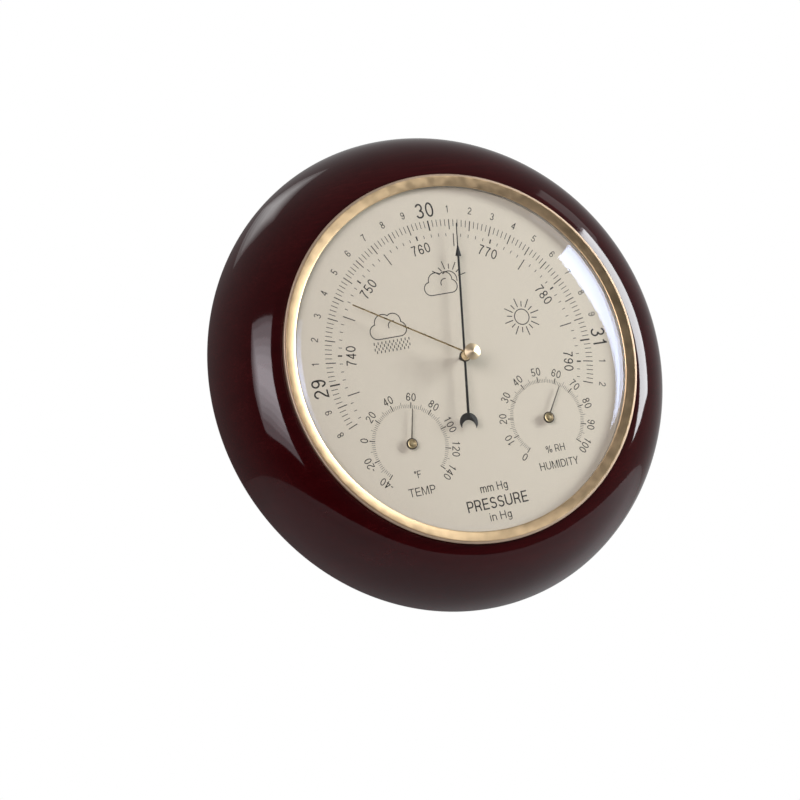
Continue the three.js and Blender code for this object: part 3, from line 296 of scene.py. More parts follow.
def mesh_from(bm):
    bmesh.ops.recalc_face_normals(bm, faces=bm.faces)
    mesh = bpy.data.meshes.new("drawing")
    bm.to_mesh(mesh)
    bm.free()
    return mesh


def spot(centre, radius, degrees):
    x, y = polar(radius, degrees)
    return centre[0] + x, centre[1] + y


def sweep(centre, radius, first, turn, steps):
    """Points on an arc, from an angle on through a turn."""
    return [spot(centre, radius, first + turn * i / steps) for i in range(steps + 1)]


def disc_outline(radius, centre=(0, 0), steps=SMALL):
    return sweep(centre, radius, 0, 360, steps)[:-1]


def turned(profile, steps=SMALL, centre=(0, 0)):
    """A closed profile of (radius, depth) points turned about an axis square to the dial."""
    bm = bmesh.new()
    rings = []
    for radius, depth in profile:
        if radius < NOTHING:
            rings.append([bm.verts.new((*centre, depth))] * steps)
            continue
        rings.append([bm.verts.new((*place, depth)) for place in disc_outline(radius, centre, steps)])
    for ring, following in zip(rings, rings[1:] + rings[:1]):
        for i in range(steps):
            k = (i + 1) % steps
            corners = list(dict.fromkeys([ring[i], ring[k], following[k], following[i]]))
            if len(corners) > 2:
                bm.faces.new(corners)
    return mesh_from(bm)


def filleted(corners, steps=5):
    """A closed profile from corners given as (radius, depth, fillet)."""
    points = []
    for i, (radius, depth, fillet) in enumerate(corners):
        here = Vector((radius, depth))
        if not fillet:
            points.append(tuple(here))
            continue
        before = (Vector(corners[i - 1][:2]) - here).normalized()
        after = (Vector(corners[(i + 1) % len(corners)][:2]) - here).normalized()
        half = before.angle(after) / 2
        centre = here + (before + after).normalized() * fillet / math.sin(half)
        start = here + before * fillet / math.tan(half) - centre
        end = here + after * fillet / math.tan(half) - centre
        for k in range(steps + 1):
            points.append(tuple(centre + start.lerp(end, k / steps).normalized() * fillet))
    return points


def loft(low, high):
    """A solid between two outlines of equally many (across, up, depth) points."""
    bm = bmesh.new()
    low, high = ([bm.verts.new(place) for place in outline] for outline in (low, high))
    bm.faces.new(low)
    bm.faces.new(high)
    for i in range(len(low)):
        k = (i + 1) % len(low)
        bm.faces.new([low[i], low[k], high[k], high[i]])
    return mesh_from(bm)


def prism(outline, back, front):
    """A prism on one outline of (across, up) points."""
    return loft(*([(x, y, depth) for x, y in outline] for depth in (back, front)))


def rounded_rectangle(width, height, radius, centre=(0, 0)):
    points = []
    corners = [(1, 1, 0), (1, -1, 90), (-1, -1, 180), (-1, 1, 270)]
    for right, up, first in corners:
        cx = centre[0] + right * (width / 2 - radius)
        cy = centre[1] + up * (height / 2 - radius)
        points += sweep((cx, cy), radius, first, 90, ARC)
    return points


def strip(start, end, width, back, front):
    """A thin bar between two (across, up) points."""
    along = Vector(end) - Vector(start)
    aside = Vector((-along.y, along.x)).normalized() * width / 2
    sides = [Vector(start) + aside, Vector(start) - aside, Vector(end) - aside, Vector(end) + aside]
    return prism([tuple(side) for side in sides], back, front)


def joined(meshes):
    bm = bmesh.new()
    for mesh in meshes:
        bm.from_mesh(mesh)
        bpy.data.meshes.remove(mesh)
    return mesh_from(bm)


def carved(mesh, add=(), cut=()):
    """A mesh joined with some meshes and then cut by others."""
    work = linked("work", mesh)
    tools = []
    for operation, others in (("UNION", add), ("DIFFERENCE", cut)):
        for other in others:
            tool = linked("tool", other)
            tools.append(tool)
            modifier = work.modifiers.new(operation.lower(), "BOOLEAN")
            modifier.operation = operation
            modifier.solver = "EXACT"
            modifier.object = tool
    graph = bpy.context.evaluated_depsgraph_get()
    result = bpy.data.meshes.new_from_object(work.evaluated_get(graph))
    for used in (work, *tools):
        bpy.data.objects.remove(used)
    return result


SHARP = 40  # degrees at which an edge is broken
MERGE = 0.002


def eased(mesh, width):
    """A mesh of flat faces with its sharp edges broken."""
    bm = bmesh.new()
    bm.from_mesh(mesh)
    bmesh.ops.remove_doubles(bm, verts=bm.verts, dist=MERGE)
    bmesh.ops.dissolve_limit(bm, angle_limit=math.radians(1), verts=bm.verts, edges=bm.edges)
    limit = math.radians(SHARP)
    edges = [edge for edge in bm.edges if edge.is_manifold and edge.calc_face_angle(0) > limit]
    settings = {"offset_type": "OFFSET", "affect": "EDGES", "profile": 0.5, "clamp_overlap": True}
    bmesh.ops.bevel(bm, geom=edges, offset=width, segments=2, **settings)
    return mesh_from(bm)


def placed(mesh, degrees, centre=(0, 0)):
    """The mesh turned clockwise on the dial and moved to a place."""
    turn = Matrix.Rotation(-math.radians(degrees), 4, "Z")
    mesh.transform(Matrix.Translation((*centre, 0)) @ turn)
    return mesh


def ribbon(points, width, back, front):
    """A flat bar of even width along some points, closed if its last point is its first."""
    closed = (Vector(points[0]) - Vector(points[-1])).length < NOTHING
    path = [Vector(point) for point in (points[:-1] if closed else points)]
    count = len(path)
    bm = bmesh.new()
    rings = []
    for i, here in enumerate(path):
        before = path[i - 1] if closed or i else here * 2 - path[1]
        after = path[(i + 1) % count] if closed or i < count - 1 else here * 2 - path[-2]
        into, out = (here - before).normalized(), (after - here).normalized()
        along = (into + out).normalized()
        half = width / 2 / max(along.dot(into), 0.6)
        aside = Vector((-along.y, along.x)) * half
        sides = [here + aside, here - aside]
        low, high = ([bm.verts.new((*side, depth)) for side in sides] for depth in (back, front))
        rings.append([low[0], low[1], high[1], high[0]])
    for ring_here, ring_next in zip(rings, rings[1:] + (rings[:1] if closed else [])):
        for k in range(4):
            m = (k + 1) % 4
            bm.faces.new([ring_here[k], ring_here[m], ring_next[m], ring_next[k]])
    if not closed:
        bm.faces.new(rings[0])
        bm.faces.new(rings[-1])
    return mesh_from(bm)


def bow(x, y, wide, high, first=0, last=360):
    """Points along part of an ellipse, by angles clockwise from its top."""
    steps = max(4, round(abs(last - first) / 15))
    return [(x + wide * dx, y + high * dy) for dx, dy in sweep((0, 0), 1, first, last - first, steps)]


# Characters as strokes on a unit of capital height: the width that each takes up, then its strokes
STEM = [(0.06, 0), (0.06, 1)]
SHORT_STEM = [(0.055, 0), (0.055, 0.72)]
SIX = [bow(0.285, 0.29, 0.21, 0.235), bow(0.30, 0.40, 0.225, 0.545, -100, 58)]
PEAKS = [(0.09, 0.97), (0.40, 0.04), (0.71, 0.97)]
ARCHES = [[*bow(x, 0.46, 0.17, 0.21, -90, 90), (x + 0.17, 0)] for x in (0.225, 0.565)]
BOWL = [(0.055, 0), (0.055, 0.945), *bow(0.34, 0.69, 0.22, 0.255, 0, 180), (0.055, 0.435)]
CHARACTERS = {
    " ": (0.34, []),
    "-": (0.46, [[(0.04, 0.38), (0.32, 0.38)]]),
    "0": (0.70, [bow(0.28, 0.5, 0.225, 0.445)]),
    "1": (0.70, [[(0.12, 0.77), (0.25, 0.81), (0.33, 0.96)], [(0.33, 0), (0.33, 1)]]),
    "2": (0.70, [[*bow(0.28, 0.70, 0.215, 0.245, -80, 120), (0.13, 0.2), (0.065, 0.055), (0.52, 0.055)]]),
    "3": (0.70, [bow(0.265, 0.725, 0.195, 0.22, -75, 180), bow(0.265, 0.275, 0.225, 0.23, 0, 255)]),
    "4": (0.70, [[(0.39, 0), (0.39, 1)], [(0.39, 0.96), (0.05, 0.28)], [(0.02, 0.27), (0.53, 0.27)]]),
    "5": (0.70, [[(0.48, 0.945), (0.155, 0.945), (0.10, 0.47)], bow(0.27, 0.30, 0.22, 0.245, -55, 245)]),
    "6": (0.70, SIX),
    "7": (0.70, [[(0.045, 0.945), (0.51, 0.945)], [(0.49, 0.93), (0.35, 0.70), (0.25, 0.40), (0.20, 0)]]),
    "8": (0.70, [bow(0.28, 0.735, 0.185, 0.21), bow(0.28, 0.275, 0.215, 0.22)]),
    "9": (0.70, [[(0.56 - x, 1 - y) for x, y in stroke] for stroke in SIX]),
    "D": (0.80, [[(0.06, 0.055), (0.06, 0.945), *bow(0.28, 0.5, 0.34, 0.445, 0, 180), (0.06, 0.055)]]),
    "E": (0.72, [[(0.56, 0.945), (0.06, 0.945), (0.06, 0.055), (0.58, 0.055)], [(0.06, 0.51), (0.53, 0.51)]]),
    "F": (0.66, [[(0.56, 0.945), (0.06, 0.945), (0.06, 0)], [(0.06, 0.50), (0.49, 0.50)]]),
    "H": (0.86, [STEM, [(0.64, 0), (0.64, 1)], [(0.06, 0.52), (0.64, 0.52)]]),
    "I": (0.28, [STEM]),
    "M": (0.96, [[(0.055, 0), (0.055, 1)], PEAKS, [(0.745, 0), (0.745, 1)]]),
    "P": (0.72, [BOWL]),
    "R": (0.78, [BOWL, [(0.34, 0.44), (0.48, 0.34), (0.56, 0)]]),
    "S": (0.74, [[*bow(0.31, 0.725, 0.225, 0.22, 65, -170), *bow(0.31, 0.275, 0.24, 0.23, 10, 255)]]),
    "T": (0.74, [[(0, 0.945), (0.62, 0.945)], [(0.31, 0.945), (0.31, 0)]]),
    "U": (0.84, [[(0.06, 1), *bow(0.345, 0.34, 0.285, 0.285, 270, 90), (0.63, 1)]]),
    "Y": (0.74, [[(0.02, 1), (0.31, 0.44), (0.31, 0)], [(0.60, 1), (0.31, 0.44)]]),
    "g": (0.62, [bow(0.25, 0.37, 0.195, 0.30), [(0.445, 0.72), *bow(0.25, -0.04, 0.195, 0.18, 90, 245)]]),
    "i": (0.26, [SHORT_STEM, [(0.055, 0.87), (0.055, 1)]]),
    "m": (0.92, [SHORT_STEM, *ARCHES]),
    "n": (0.62, [SHORT_STEM, [*bow(0.26, 0.44, 0.205, 0.23, -90, 90), (0.465, 0)]]),
    "%": (1.02, [bow(0.17, 0.75, 0.125, 0.195), bow(0.71, 0.25, 0.125, 0.195), [(0.22, 0), (0.66, 1)]]),
    "°": (0.40, [bow(0.14, 0.84, 0.10, 0.11)]),
}
CHARACTER_GAP = 0.14


def lettering(text, height, centre, degrees=0, stroke=0.11, wide=1.0):
    """Characters as thin solids of a given capital height, with their middle at a place."""
    left = -(sum(CHARACTERS[character][0] for character in text) - CHARACTER_GAP) / 2
    bars = []
    for character in text:
        width, strokes = CHARACTERS[character]
        for points in strokes:
            path = [((left + x) * height * wide, (y - 0.5) * height) for x, y in points]
            bars.append(ribbon(path, stroke * height, PRINT_BACK, PRINT_FRONT))
        left += width
    return placed(joined(bars), degrees, centre)


SMOOTH = 30  # degrees up to which a shade runs on over an edge


def piece(name, mesh, body, slot, nodes=(), finish=None):
    """A piece with its slot's finish or its own, which rides on a body and replaces CAD nodes."""
    mesh.transform(TO_ROW)
    mesh.shade_smooth()
    mesh.set_sharp_from_angle(angle=math.radians(SMOOTH))
    mesh.materials.clear()
    mesh.materials.append(finish or SLOT_FINISHES[slot])
    made = linked(name, mesh)
    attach(made, body)
    if nodes:
        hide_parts(*nodes)
    return made


# Wooden ring

ring = extent("wood_ring")
bezel = extent("bezel")
pan = extent("case_pan")
hanger = extent("hanger_plate")
SEAT = ring.front
DOME_CENTRE = -10.0  # depth of the dome ellipse's middle
CREST_ABOVE_SEAT = 0.2
CREST_INSET = 2.35
REBATE_RADIUS = 86.0
REBATE_FLOOR = 24.5
BORE_RADIUS = 80.0
RECESS_RADIUS = 92.0
PAN_SHEET = 1
WOOD_EDGE = 0.8
DOME_STEPS = 56
LET_IN_GAP = 0.3
POCKET_WIDTH = 11.2
POCKET_DEPTH = 7.0
POCKET_BOTTOM = 95.0
POCKET_TOP = 110.0
POCKET_ROUND = 3
LET_IN_ROUND = 2.4
HANGER_ROUND = 2
HANGER_UP = (hanger.bottom + hanger.top) / 2


def hanger_outline(gap, corner):
    """The keyhole plate's outline, grown by a gap."""
    size = (hanger.right - hanger.left + 2 * gap, hanger.top - hanger.bottom + 2 * gap)
    return rounded_rectangle(*size, corner, (0, HANGER_UP))


def wooden_ring():
    height = SEAT + CREST_ABOVE_SEAT - DOME_CENTRE
    crest = bezel.right - CREST_INSET
    width = (ring.right - crest) / math.sqrt(1 - (DOME_CENTRE / height) ** 2)
    first = math.asin((WOOD_EDGE - DOME_CENTRE) / height)
    last = math.asin((SEAT - DOME_CENTRE) / height)
    dome = []
    for i in range(DOME_STEPS + 1):
        angle = first + (last - first) * i / DOME_STEPS
        dome.append((crest + width * math.cos(angle), DOME_CENTRE + height * math.sin(angle)))
    foot = sweep((dome[0][0] - WOOD_EDGE, WOOD_EDGE), WOOD_EDGE, 180, -90, 4)[:-1]
    corners = [
        (dome[-1][0], SEAT, 0),
        (REBATE_RADIUS, SEAT, 0.3),
        (REBATE_RADIUS, REBATE_FLOOR, 0),
        (BORE_RADIUS, REBATE_FLOOR, 0.3),
        (BORE_RADIUS, pan.back, 0.3),
        (RECESS_RADIUS, pan.back, 0.4),
        (RECESS_RADIUS, 0, 0.5),
        (foot[0][0], 0, 0),
    ]
    wood = turned([*foot, *dome, *filleted(corners)[1:-1]], LARGE)
    let_in = prism(hanger_outline(LET_IN_GAP, LET_IN_ROUND), -1, hanger.front)
    pocket_height = POCKET_TOP - POCKET_BOTTOM
    pocket_middle = (0, POCKET_BOTTOM + pocket_height / 2)
    pocket = rounded_rectangle(POCKET_WIDTH, pocket_height, POCKET_ROUND, pocket_middle)
    return carved(wood, cut=[let_in, prism(pocket, -1, POCKET_DEPTH)])


piece("turned_wood_ring", wooden_ring(), "case", "mahogany", ["wood_ring"])

# Bezel: a rolled bead outside a satin band that curves in to the glass

BEAD_TOP = SEAT + 2.85
BEAD_ROUND = 0.5
BEAD_WIDTH = 1.1
CROWN = SEAT + 3.2
CROWN_ROUND = 0.12
BAND_FALL = (0.60, 0.33)  # from the crown in to the lip, in a straight part and a curved one
BAND_INNER = 81.6
BAND_STEPS = 16
SKIRT = 85.5
SKIRT_INSET = 0.05  # of the skirt's edge from the bead's middle
SHEET = 0.8
ROLL = 1.3  # how far the edge is rolled in behind the pan's flange
GLASS_THICK = 1.8
lens = extent("lens")
gasket = extent("lens_gasket")
GLASS_EDGE = gasket.front + GLASS_THICK


def bezel_ring():
    outside = bezel.right - BEAD_WIDTH
    skirt = bezel.right - BEAD_ROUND - SKIRT_INSET
    bead_middle = (bezel.right - BEAD_ROUND, BEAD_TOP - BEAD_ROUND)
    bead = sweep(bead_middle, BEAD_ROUND, 170, -170, 2 * ARC)[:-1]
    side = [(skirt, SEAT), (skirt, BEAD_TOP - 2 * BEAD_ROUND), *bead]
    rise = [*[(*place, 0) for place in side], (outside, BEAD_TOP, 0.05), (outside, CROWN, CROWN_ROUND)]
    profile = filleted([*rise, (outside - 1, CROWN, 0)])[:-1]
    outside = profile[-1][0]
    for i in range(1, BAND_STEPS + 1):
        share = i / BAND_STEPS
        fall = BAND_FALL[0] * share + BAND_FALL[1] * share**2
        profile.append((outside - (outside - BAND_INNER) * share, CROWN - fall))
    lip = profile.pop()
    profile += [(lip[0] + 0.2, lip[1] + 0.02), (lip[0] + 0.06, lip[1] - 0.05), (lip[0], lip[1] - 0.15)]
    inside = SKIRT - SHEET
    roll = inside - ROLL
    profile += [
        (BAND_INNER, GLASS_EDGE),
        (inside, GLASS_EDGE),
        (inside, pan.front - PAN_SHEET),
        (roll, pan.front - PAN_SHEET),
        (roll, bezel.back),
        (SKIRT, bezel.back),
        (SKIRT, SEAT),
    ]
    return turned(profile, LARGE)


def two_finishes(made, second, inner, centre=(0, 0)):
    """Gives the faces outside a radius about a centre on the dial a second finish."""
    made.data.materials.append(second)
    for face in made.data.polygons:
        x, z = face.center.x / MM, (face.center.z - AXIS_Z) / MM
        if math.hypot(x - centre[0], z - centre[1]) > inner:
            face.material_index = 1


bezel_piece = piece("spun_bezel", bezel_ring(), "case", "bezel_brass", ["bezel"])
two_finishes(bezel_piece, bead_brass, bezel.right - BEAD_WIDTH + 0.01)

# Glass and gasket

DOME_RISE = 8.2
RIM_RISE = 0.8  # more, close to the rim, where the dome turns down
RIM_POWER = 40
GLASS_RADIUS = BAND_INNER - 0.3
LENS_STEPS = 44
LENS_BORE = 1.5


def domed_lens():
    outer = []
    for i in range(LENS_STEPS):
        share = math.sin(math.pi / 2 * i / LENS_STEPS)
        radius = LENS_BORE + (GLASS_RADIUS - LENS_BORE) * share
        part = radius / GLASS_RADIUS
        outer.append((radius, lens.front - DOME_RISE * part**2 - RIM_RISE * part**RIM_POWER))
    inner = [(radius, depth - GLASS_THICK) for radius, depth in outer]
    rim = [(GLASS_RADIUS, GLASS_EDGE), (lens.right, GLASS_EDGE), (lens.right, gasket.front)]
    return turned([*outer, *rim, (GLASS_RADIUS - 0.05, gasket.front), *inner[::-1]], LARGE)


piece("domed_lens", domed_lens(), "case", "clear_glass", ["lens"])
GASKET_WIDTH = 2.4
gasket_profile = [
    (gasket.right - GASKET_WIDTH, gasket.back, 0.3),
    (gasket.right - GASKET_WIDTH, gasket.front, 0.3),
    (gasket.right, gasket.front, 0),
    (gasket.right, gasket.back, 0),
]
gasket_mesh = turned(filleted(gasket_profile), LARGE)
piece("gasket_ring", gasket_mesh, "case", "gasket_rubber", ["lens_gasket"])

# Print on the dial

DIAL = extent("dial_plate").front
PRINT_BACK = DIAL - 0.02
PRINT_FRONT = DIAL + 0.03
DEGREES_PER_INCH = 91.667
NUMBER_LAG = 0.25  # degrees by which the outer numbers stand before their ticks
TOP_INCH = 30.0
MM_PER_INCH = 25.4
FINE_LINE = 0.30
LINE = 0.44
BOLD_LINE = 0.70
PALE_LINE = 0.17

# Ticks: their inner and outer radius. Numbers: their radius and height
INCH_TENTHS = (61.6, 66.5)
INCH_FIFTIETHS = (63.2, 66.5)
INCH_DIGITS = (71.5, 3.4)
INCH_WHOLES = (71.6, 7.1)
MM_TENS = (58.3, 60.4)
MM_FIVES = (53.6, 59.7)
MM_ONES = (58.3, 59.8)
MM_NUMBERS = (54.0, 4.8)
SUB_LABELLED = (17.0, 19.8)
SUB_LONGER = (17.2, 19.8)
SUB_MINOR = (17.0, 18.7)
SUB_NUMBERS = (22.3, 3.75)


def tick(inner, outer, degrees, width, centre=(0, 0)):
    ends = [spot(centre, radius, degrees) for radius in (inner, outer)]
    return strip(*ends, width, PRINT_BACK, PRINT_FRONT)


def number(text, radius, height, degrees, centre=(0, 0)):
    """A number whose top points outwards."""
    return lettering(text, height, spot(centre, radius, degrees), degrees)


def inch_scale():
    marks = []
    for step in range(-60, 61):  # fiftieths of an inch
        degrees = step * DEGREES_PER_INCH / 50
        tenth = step % 5 == 0
        width = BOLD_LINE if step % 50 == 0 else LINE if tenth else FINE_LINE
        marks.append(tick(*(INCH_TENTHS if tenth else INCH_FIFTIETHS), degrees, width))
    for tenths in range(-12, 13):
        degrees = tenths * DEGREES_PER_INCH / 10
        whole, digit = divmod(round(TOP_INCH * 10) + tenths, 10)
        text, place = (str(digit), INCH_DIGITS) if digit else (str(whole), INCH_WHOLES)
        marks.append(number(text, *place, degrees - NUMBER_LAG))
    return marks


def millimetre_scale():
    marks = []
    for value in range(732, 793):
        degrees = (value / MM_PER_INCH - TOP_INCH) * DEGREES_PER_INCH
        if value % 10 == 0:
            marks.append(tick(*MM_TENS, degrees, BOLD_LINE))
            marks.append(number(str(value), *MM_NUMBERS, degrees))
        elif value % 5 == 0:
            marks.append(tick(*MM_FIVES, degrees, LINE))
        else:
            marks.append(tick(*MM_ONES, degrees, FINE_LINE))
    return marks


def sub_scale(centre, first, last, labelled, longer, minor, degrees_per_unit, top_value):
    """A scale round a small hand; top_value stands at its top."""
    marks = []
    for value in range(first, last + 1, minor):
        degrees = (value - top_value) * degrees_per_unit
        if value % labelled == 0:
            marks.append(tick(*SUB_LABELLED, degrees, LINE, centre))
            marks.append(number(str(value), *SUB_NUMBERS, degrees, centre))
            continue
        span = SUB_MINOR if value % longer else SUB_LONGER
        marks.append(tick(*span, degrees, PALE_LINE, centre))
    return marks


def rays(centre, count, inner, short, long, width, keep=lambda degrees: True):
    """Straight rays round a sun, short and long in turn."""
    marks = []
    for i in range(count):
        degrees = 360 * (i + 0.5) / count
        if keep(degrees):
            marks.append(tick(inner, long if i % 2 else short, degrees, width, centre))
    return marks


def outlined(shapes, width):
    """The outline of overlapping discs and boxes, each given as a function of how far it is shrunk."""
    grown, shrunk = (
        [prism(shape(by), PRINT_BACK - by, PRINT_FRONT + by) for shape in shapes] for by in (0, width)
    )
    outer = carved(grown[0], add=grown[1:])
    inner = carved(shrunk[0], add=shrunk[1:])
    return carved(outer, cut=[inner])


def disc_shape(x, y, radius):
    return lambda by: disc_outline(radius - by, (x, y))


def base_shape(left, right, bottom, top):
    def corners(by):
        return [(left, bottom + by), (right, bottom + by), (right, top), (left, top)]

    return corners


def arc(centre, radius, first, turn, width, steps):
    """A printed arc, from an angle on through a turn."""
    outer, inner = (sweep(centre, radius + by, first, turn, steps) for by in (width / 2, -width / 2))
    return prism([*outer, *inner[::-1]], PRINT_BACK, PRINT_FRONT)


CLOUD_UNITS = 17  # the width of the cloud as drawn below


def cloud(left, bottom, width):
    """A cloud of four discs on a flat base, with a curl inside it."""
    unit = width / CLOUD_UNITS
    discs = [(3.4, 3.4, 3.4), (7.0, 6.6, 4.2), (11.6, 7.0, 3.6), (13.6, 3.4, 3.4)]
    shapes = [disc_shape(left + x * unit, bottom + y * unit, r * unit) for x, y, r in discs]
    shapes.append(base_shape(left + 3.4 * unit, left + 13.6 * unit, bottom, bottom + 6 * unit))
    curl = arc((left + 11.2 * unit, bottom + 5.0 * unit), 2.2 * unit, 250, 130, LINE, 14)
    return joined([outlined(shapes, LINE), curl])


RAIN_ACROSS = 0.97
RAIN_DOWN = 1.35
DASH = (-0.15, -1.25)  # from the head of a dash to its foot


def rain(left, top, columns, rows):
    """Short slanted dashes, set like bricks."""
    marks = []
    for i in range(columns):
        for k in range(rows):
            if (i + k) % 2 == 0:
                x, y = left + RAIN_ACROSS * i - 0.1 * k, top - RAIN_DOWN * k
                marks.append(strip((x, y), (x + DASH[0], y + DASH[1]), LINE, PRINT_BACK, PRINT_FRONT))
    return marks


def weather_signs():
    sun = (35.1, 14.2)
    marks = [outlined([disc_shape(*sun, 3.9)], LINE), *rays(sun, 16, 4.9, 7.5, 9.3, LINE)]
    hidden_sun = (3.6, 37.6)
    behind = outlined([disc_shape(*hidden_sun, 4.1)], LINE)
    cover = [prism(disc_outline(4.4, centre), DIAL - 1, DIAL + 1) for centre in ((-1.2, 36.6), (3.6, 33.6))]
    marks.append(carved(behind, cut=cover))
    marks += rays(hidden_sun, 16, 5.0, 7.4, 9.0, LINE, lambda degrees: degrees < 100 or degrees > 300)
    marks.append(cloud(-10.0, 31.0, 17))
    marks.append(cloud(-41.5, 15.0, 18.5))
    return marks + rain(-40.6, 14.1, 19, 4)


WIDE_WORDS = 1.12  # times the usual width
THERMO = middle("thermo_hub")
HYGRO = middle("hygro_hub")


def words():
    return [
        lettering("°F", 3.4, (THERMO[0], -49.0)),
        lettering("TEMP", 3.9, (THERMO[0] + 0.2, -56.8), wide=WIDE_WORDS),
        lettering("% RH", 3.4, (HYGRO[0] + 0.4, -49.4)),
        lettering("HUMIDITY", 3.7, (HYGRO[0] + 0.3, -56.8)),
        lettering("mm Hg", 3.9, (0.2, -61.2)),
        lettering("PRESSURE", 5.2, (0.3, -68.4), stroke=0.125),
        lettering("in Hg", 3.8, (0.2, -74.8), wide=WIDE_WORDS),
    ]


def printed(name, marks):
    piece(name, joined(marks), "case", "printed_dial", finish=ink)


printed("inch_scale_print", inch_scale())
printed("millimetre_scale_print", millimetre_scale())
printed("thermometer_print", sub_scale(THERMO, -40, 140, 20, 10, 2, 1.5, 50))
printed("hygrometer_print", sub_scale(HYGRO, 0, 100, 10, 5, 1, 2.7, 50))
printed("weather_signs_print", weather_signs())
printed("words_print", words())

# Hands and hubs

POINTER_ANGLE = 10.99
SET_HAND_ANGLE = -56.4
THERMO_ANGLE = 15.8
HYGRO_ANGLE = 34.5
pointer = extent("pressure_pointer")
hub = extent("pointer_hub")

# Half widths along a hand, from its tail or axis to its tip
POINTER_HALF = [(0.62, -27.3), (0.52, 0), (0.50, 47.7), (1.45, 47.7), (0.26, 53.0), (0.17, 63.7)]
NEEDLE_HALF = [(0.32, 0), (0.21, 16.5)]
MOON = (4.45, (0, -31.0))  # the crescent: a disc
MOON_BITE = (3.5, (0, -33.5))  # less this one
HUB_RADIUS = 2.65
HUB_RIM = 2.15
HUB_THICK = 1
CUP_THICK = 0.8
NEEDLE_BOSS = 2.1


def blade_outline(half):
    return [*half, *[(-x, y) for x, y in half[::-1]]]


def pointer_mesh():
    back, front = pointer.back, pointer.front
    blade = prism(blade_outline(POINTER_HALF), back, front)
    moon = prism(disc_outline(*MOON), back, front)
    boss = prism(disc_outline(HUB_RADIUS), back, front)
    bite = prism(disc_outline(*MOON_BITE), back - 1, front + 1)
    return placed(eased(carved(blade, add=[moon, boss], cut=[bite]), 0.07), POINTER_ANGLE)


def hub_profile(back, front):
    """A disc with a broken edge and a faint centre mark."""
    face = [(HUB_RADIUS, front - 0.15, 0.1), (HUB_RIM, front, 0.15), (0.5, front, 0.1)]
    return filleted([(0, back, 0), (HUB_RADIUS, back, 0.18), *face, (0, front - 0.12, 0)])


CUP_BOSS = 1.1
CUP_DEPTH = 0.45


def cup_profile(back, front):
    """A disc whose face slopes in from its rim to a raised boss."""
    face = [
        (HUB_RADIUS, front - 0.1, 0.08),
        (HUB_RIM, front, 0.1),
        (CUP_BOSS + 0.12, front - CUP_DEPTH, 0.06),
        (CUP_BOSS, front - CUP_DEPTH, 0.05),
        (CUP_BOSS - 0.1, front - 0.05, 0.12),
    ]
    return filleted([(0, back, 0), (HUB_RADIUS, back, 0.1), *face, (0, front + 0.02, 0)])


def needle_mesh(node, degrees, centre):
    box = extent(node)
    blade = prism(blade_outline(NEEDLE_HALF), box.back, box.front)
    boss = prism(disc_outline(NEEDLE_BOSS), box.back, box.front)
    return placed(eased(carved(blade, add=[boss]), 0.05), degrees, centre)


COLLAR_RADIUS = 2.2
COLLAR_THICK = 1.6
WASHER_BORE = 1.5  # radius
ROD_ROOT = (1.9, 9.7)  # along the hand, and above the dial
ROD_TIP = (58.5, 5.2)


def washer_profile(radius, back, front, edge):
    """A ring round the set hand's shaft."""
    bore = WASHER_BORE
    return [(bore, back, 0.05), (radius, back, edge), (radius, front, edge), (bore, front, 0.05)]


def set_hand_mesh():
    """A round rod that slopes from the collar under the knob to its tip, and the collar."""
    box = extent("set_hand")
    root = Vector((0, ROD_ROOT[0], DIAL + ROD_ROOT[1]))
    tip = Vector((0, ROD_TIP[0], DIAL + ROD_TIP[1]))
    length = (tip - root).length
    profile = [(0, 0), (0.4, 0), (0.32, length - 0.3), (0.12, length), (0, length)]
    rod = turned(profile, 16)
    turn = (tip - root).to_track_quat("Z", "Y").to_matrix().to_4x4()
    rod.transform(Matrix.Translation(root) @ turn)
    collar_profile = washer_profile(COLLAR_RADIUS, box.front - COLLAR_THICK, box.front, 0.2)
    collar = turned(filleted(collar_profile))
    return placed(carved(collar, add=[rod]), SET_HAND_ANGLE)


KNOB_NECK = 2.4
KNOB_FLARE = 0.9


def knob_mesh():
    """A low turned knob that flares out from its neck to a rim, with a cone for its face."""
    box = extent("set_knob")
    radius = (box.right - box.left) / 2
    rim = box.back + KNOB_FLARE
    profile = [
        (0, box.back + 0.1, 0),
        (KNOB_NECK, box.back, 0.1),
        (radius, rim - 0.2, 0.1),
        (radius, rim, 0.12),
        (0.25, box.front - 0.04, 0.15),
        (0, box.front - 0.02, 0),
    ]
    return turned(filleted(profile), 96)


piece("black_pointer", pointer_mesh(), "pointer", "pointer_black", ["pressure_pointer"])
hub_mesh = turned(hub_profile(hub.front - HUB_THICK, hub.front))
hub_piece = piece("pointer_hub_disc", hub_mesh, "pointer", "hub_brass", ["pointer_hub"])
# The pointer hub's edge gets the painted shade ring
two_finishes(hub_piece, painted_shade_rim, HUB_RIM)

piece("set_hand_rod", set_hand_mesh(), "set_pointer", "hub_brass", ["set_hand"], rod_brass)
piece("knob", knob_mesh(), "set_pointer", "hub_brass", ["set_knob"], knob_brass)
washer = extent("knob_washer")
washer_mesh = turned(filleted(washer_profile(washer.right, washer.back, washer.front, 0.05)))
piece("washer", washer_mesh, "set_pointer", "hub_brass", ["knob_washer"], rod_brass)
shaft = extent("set_shaft")
SHAFT_RADIUS = 1.2
SHAFT_HEAD = 0.8
shaft_profile = [
    (0, shaft.back, 0),
    (shaft.right, shaft.back, 0.2),
    (shaft.right, shaft.back + SHAFT_HEAD, 0.05),
    (SHAFT_RADIUS, shaft.back + SHAFT_HEAD, 0),
    (SHAFT_RADIUS, shaft.front, 0.1),
    (0, shaft.front, 0),
]
piece("shaft", turned(filleted(shaft_profile), 48), "set_pointer", "hub_brass", ["set_shaft"], rod_brass)

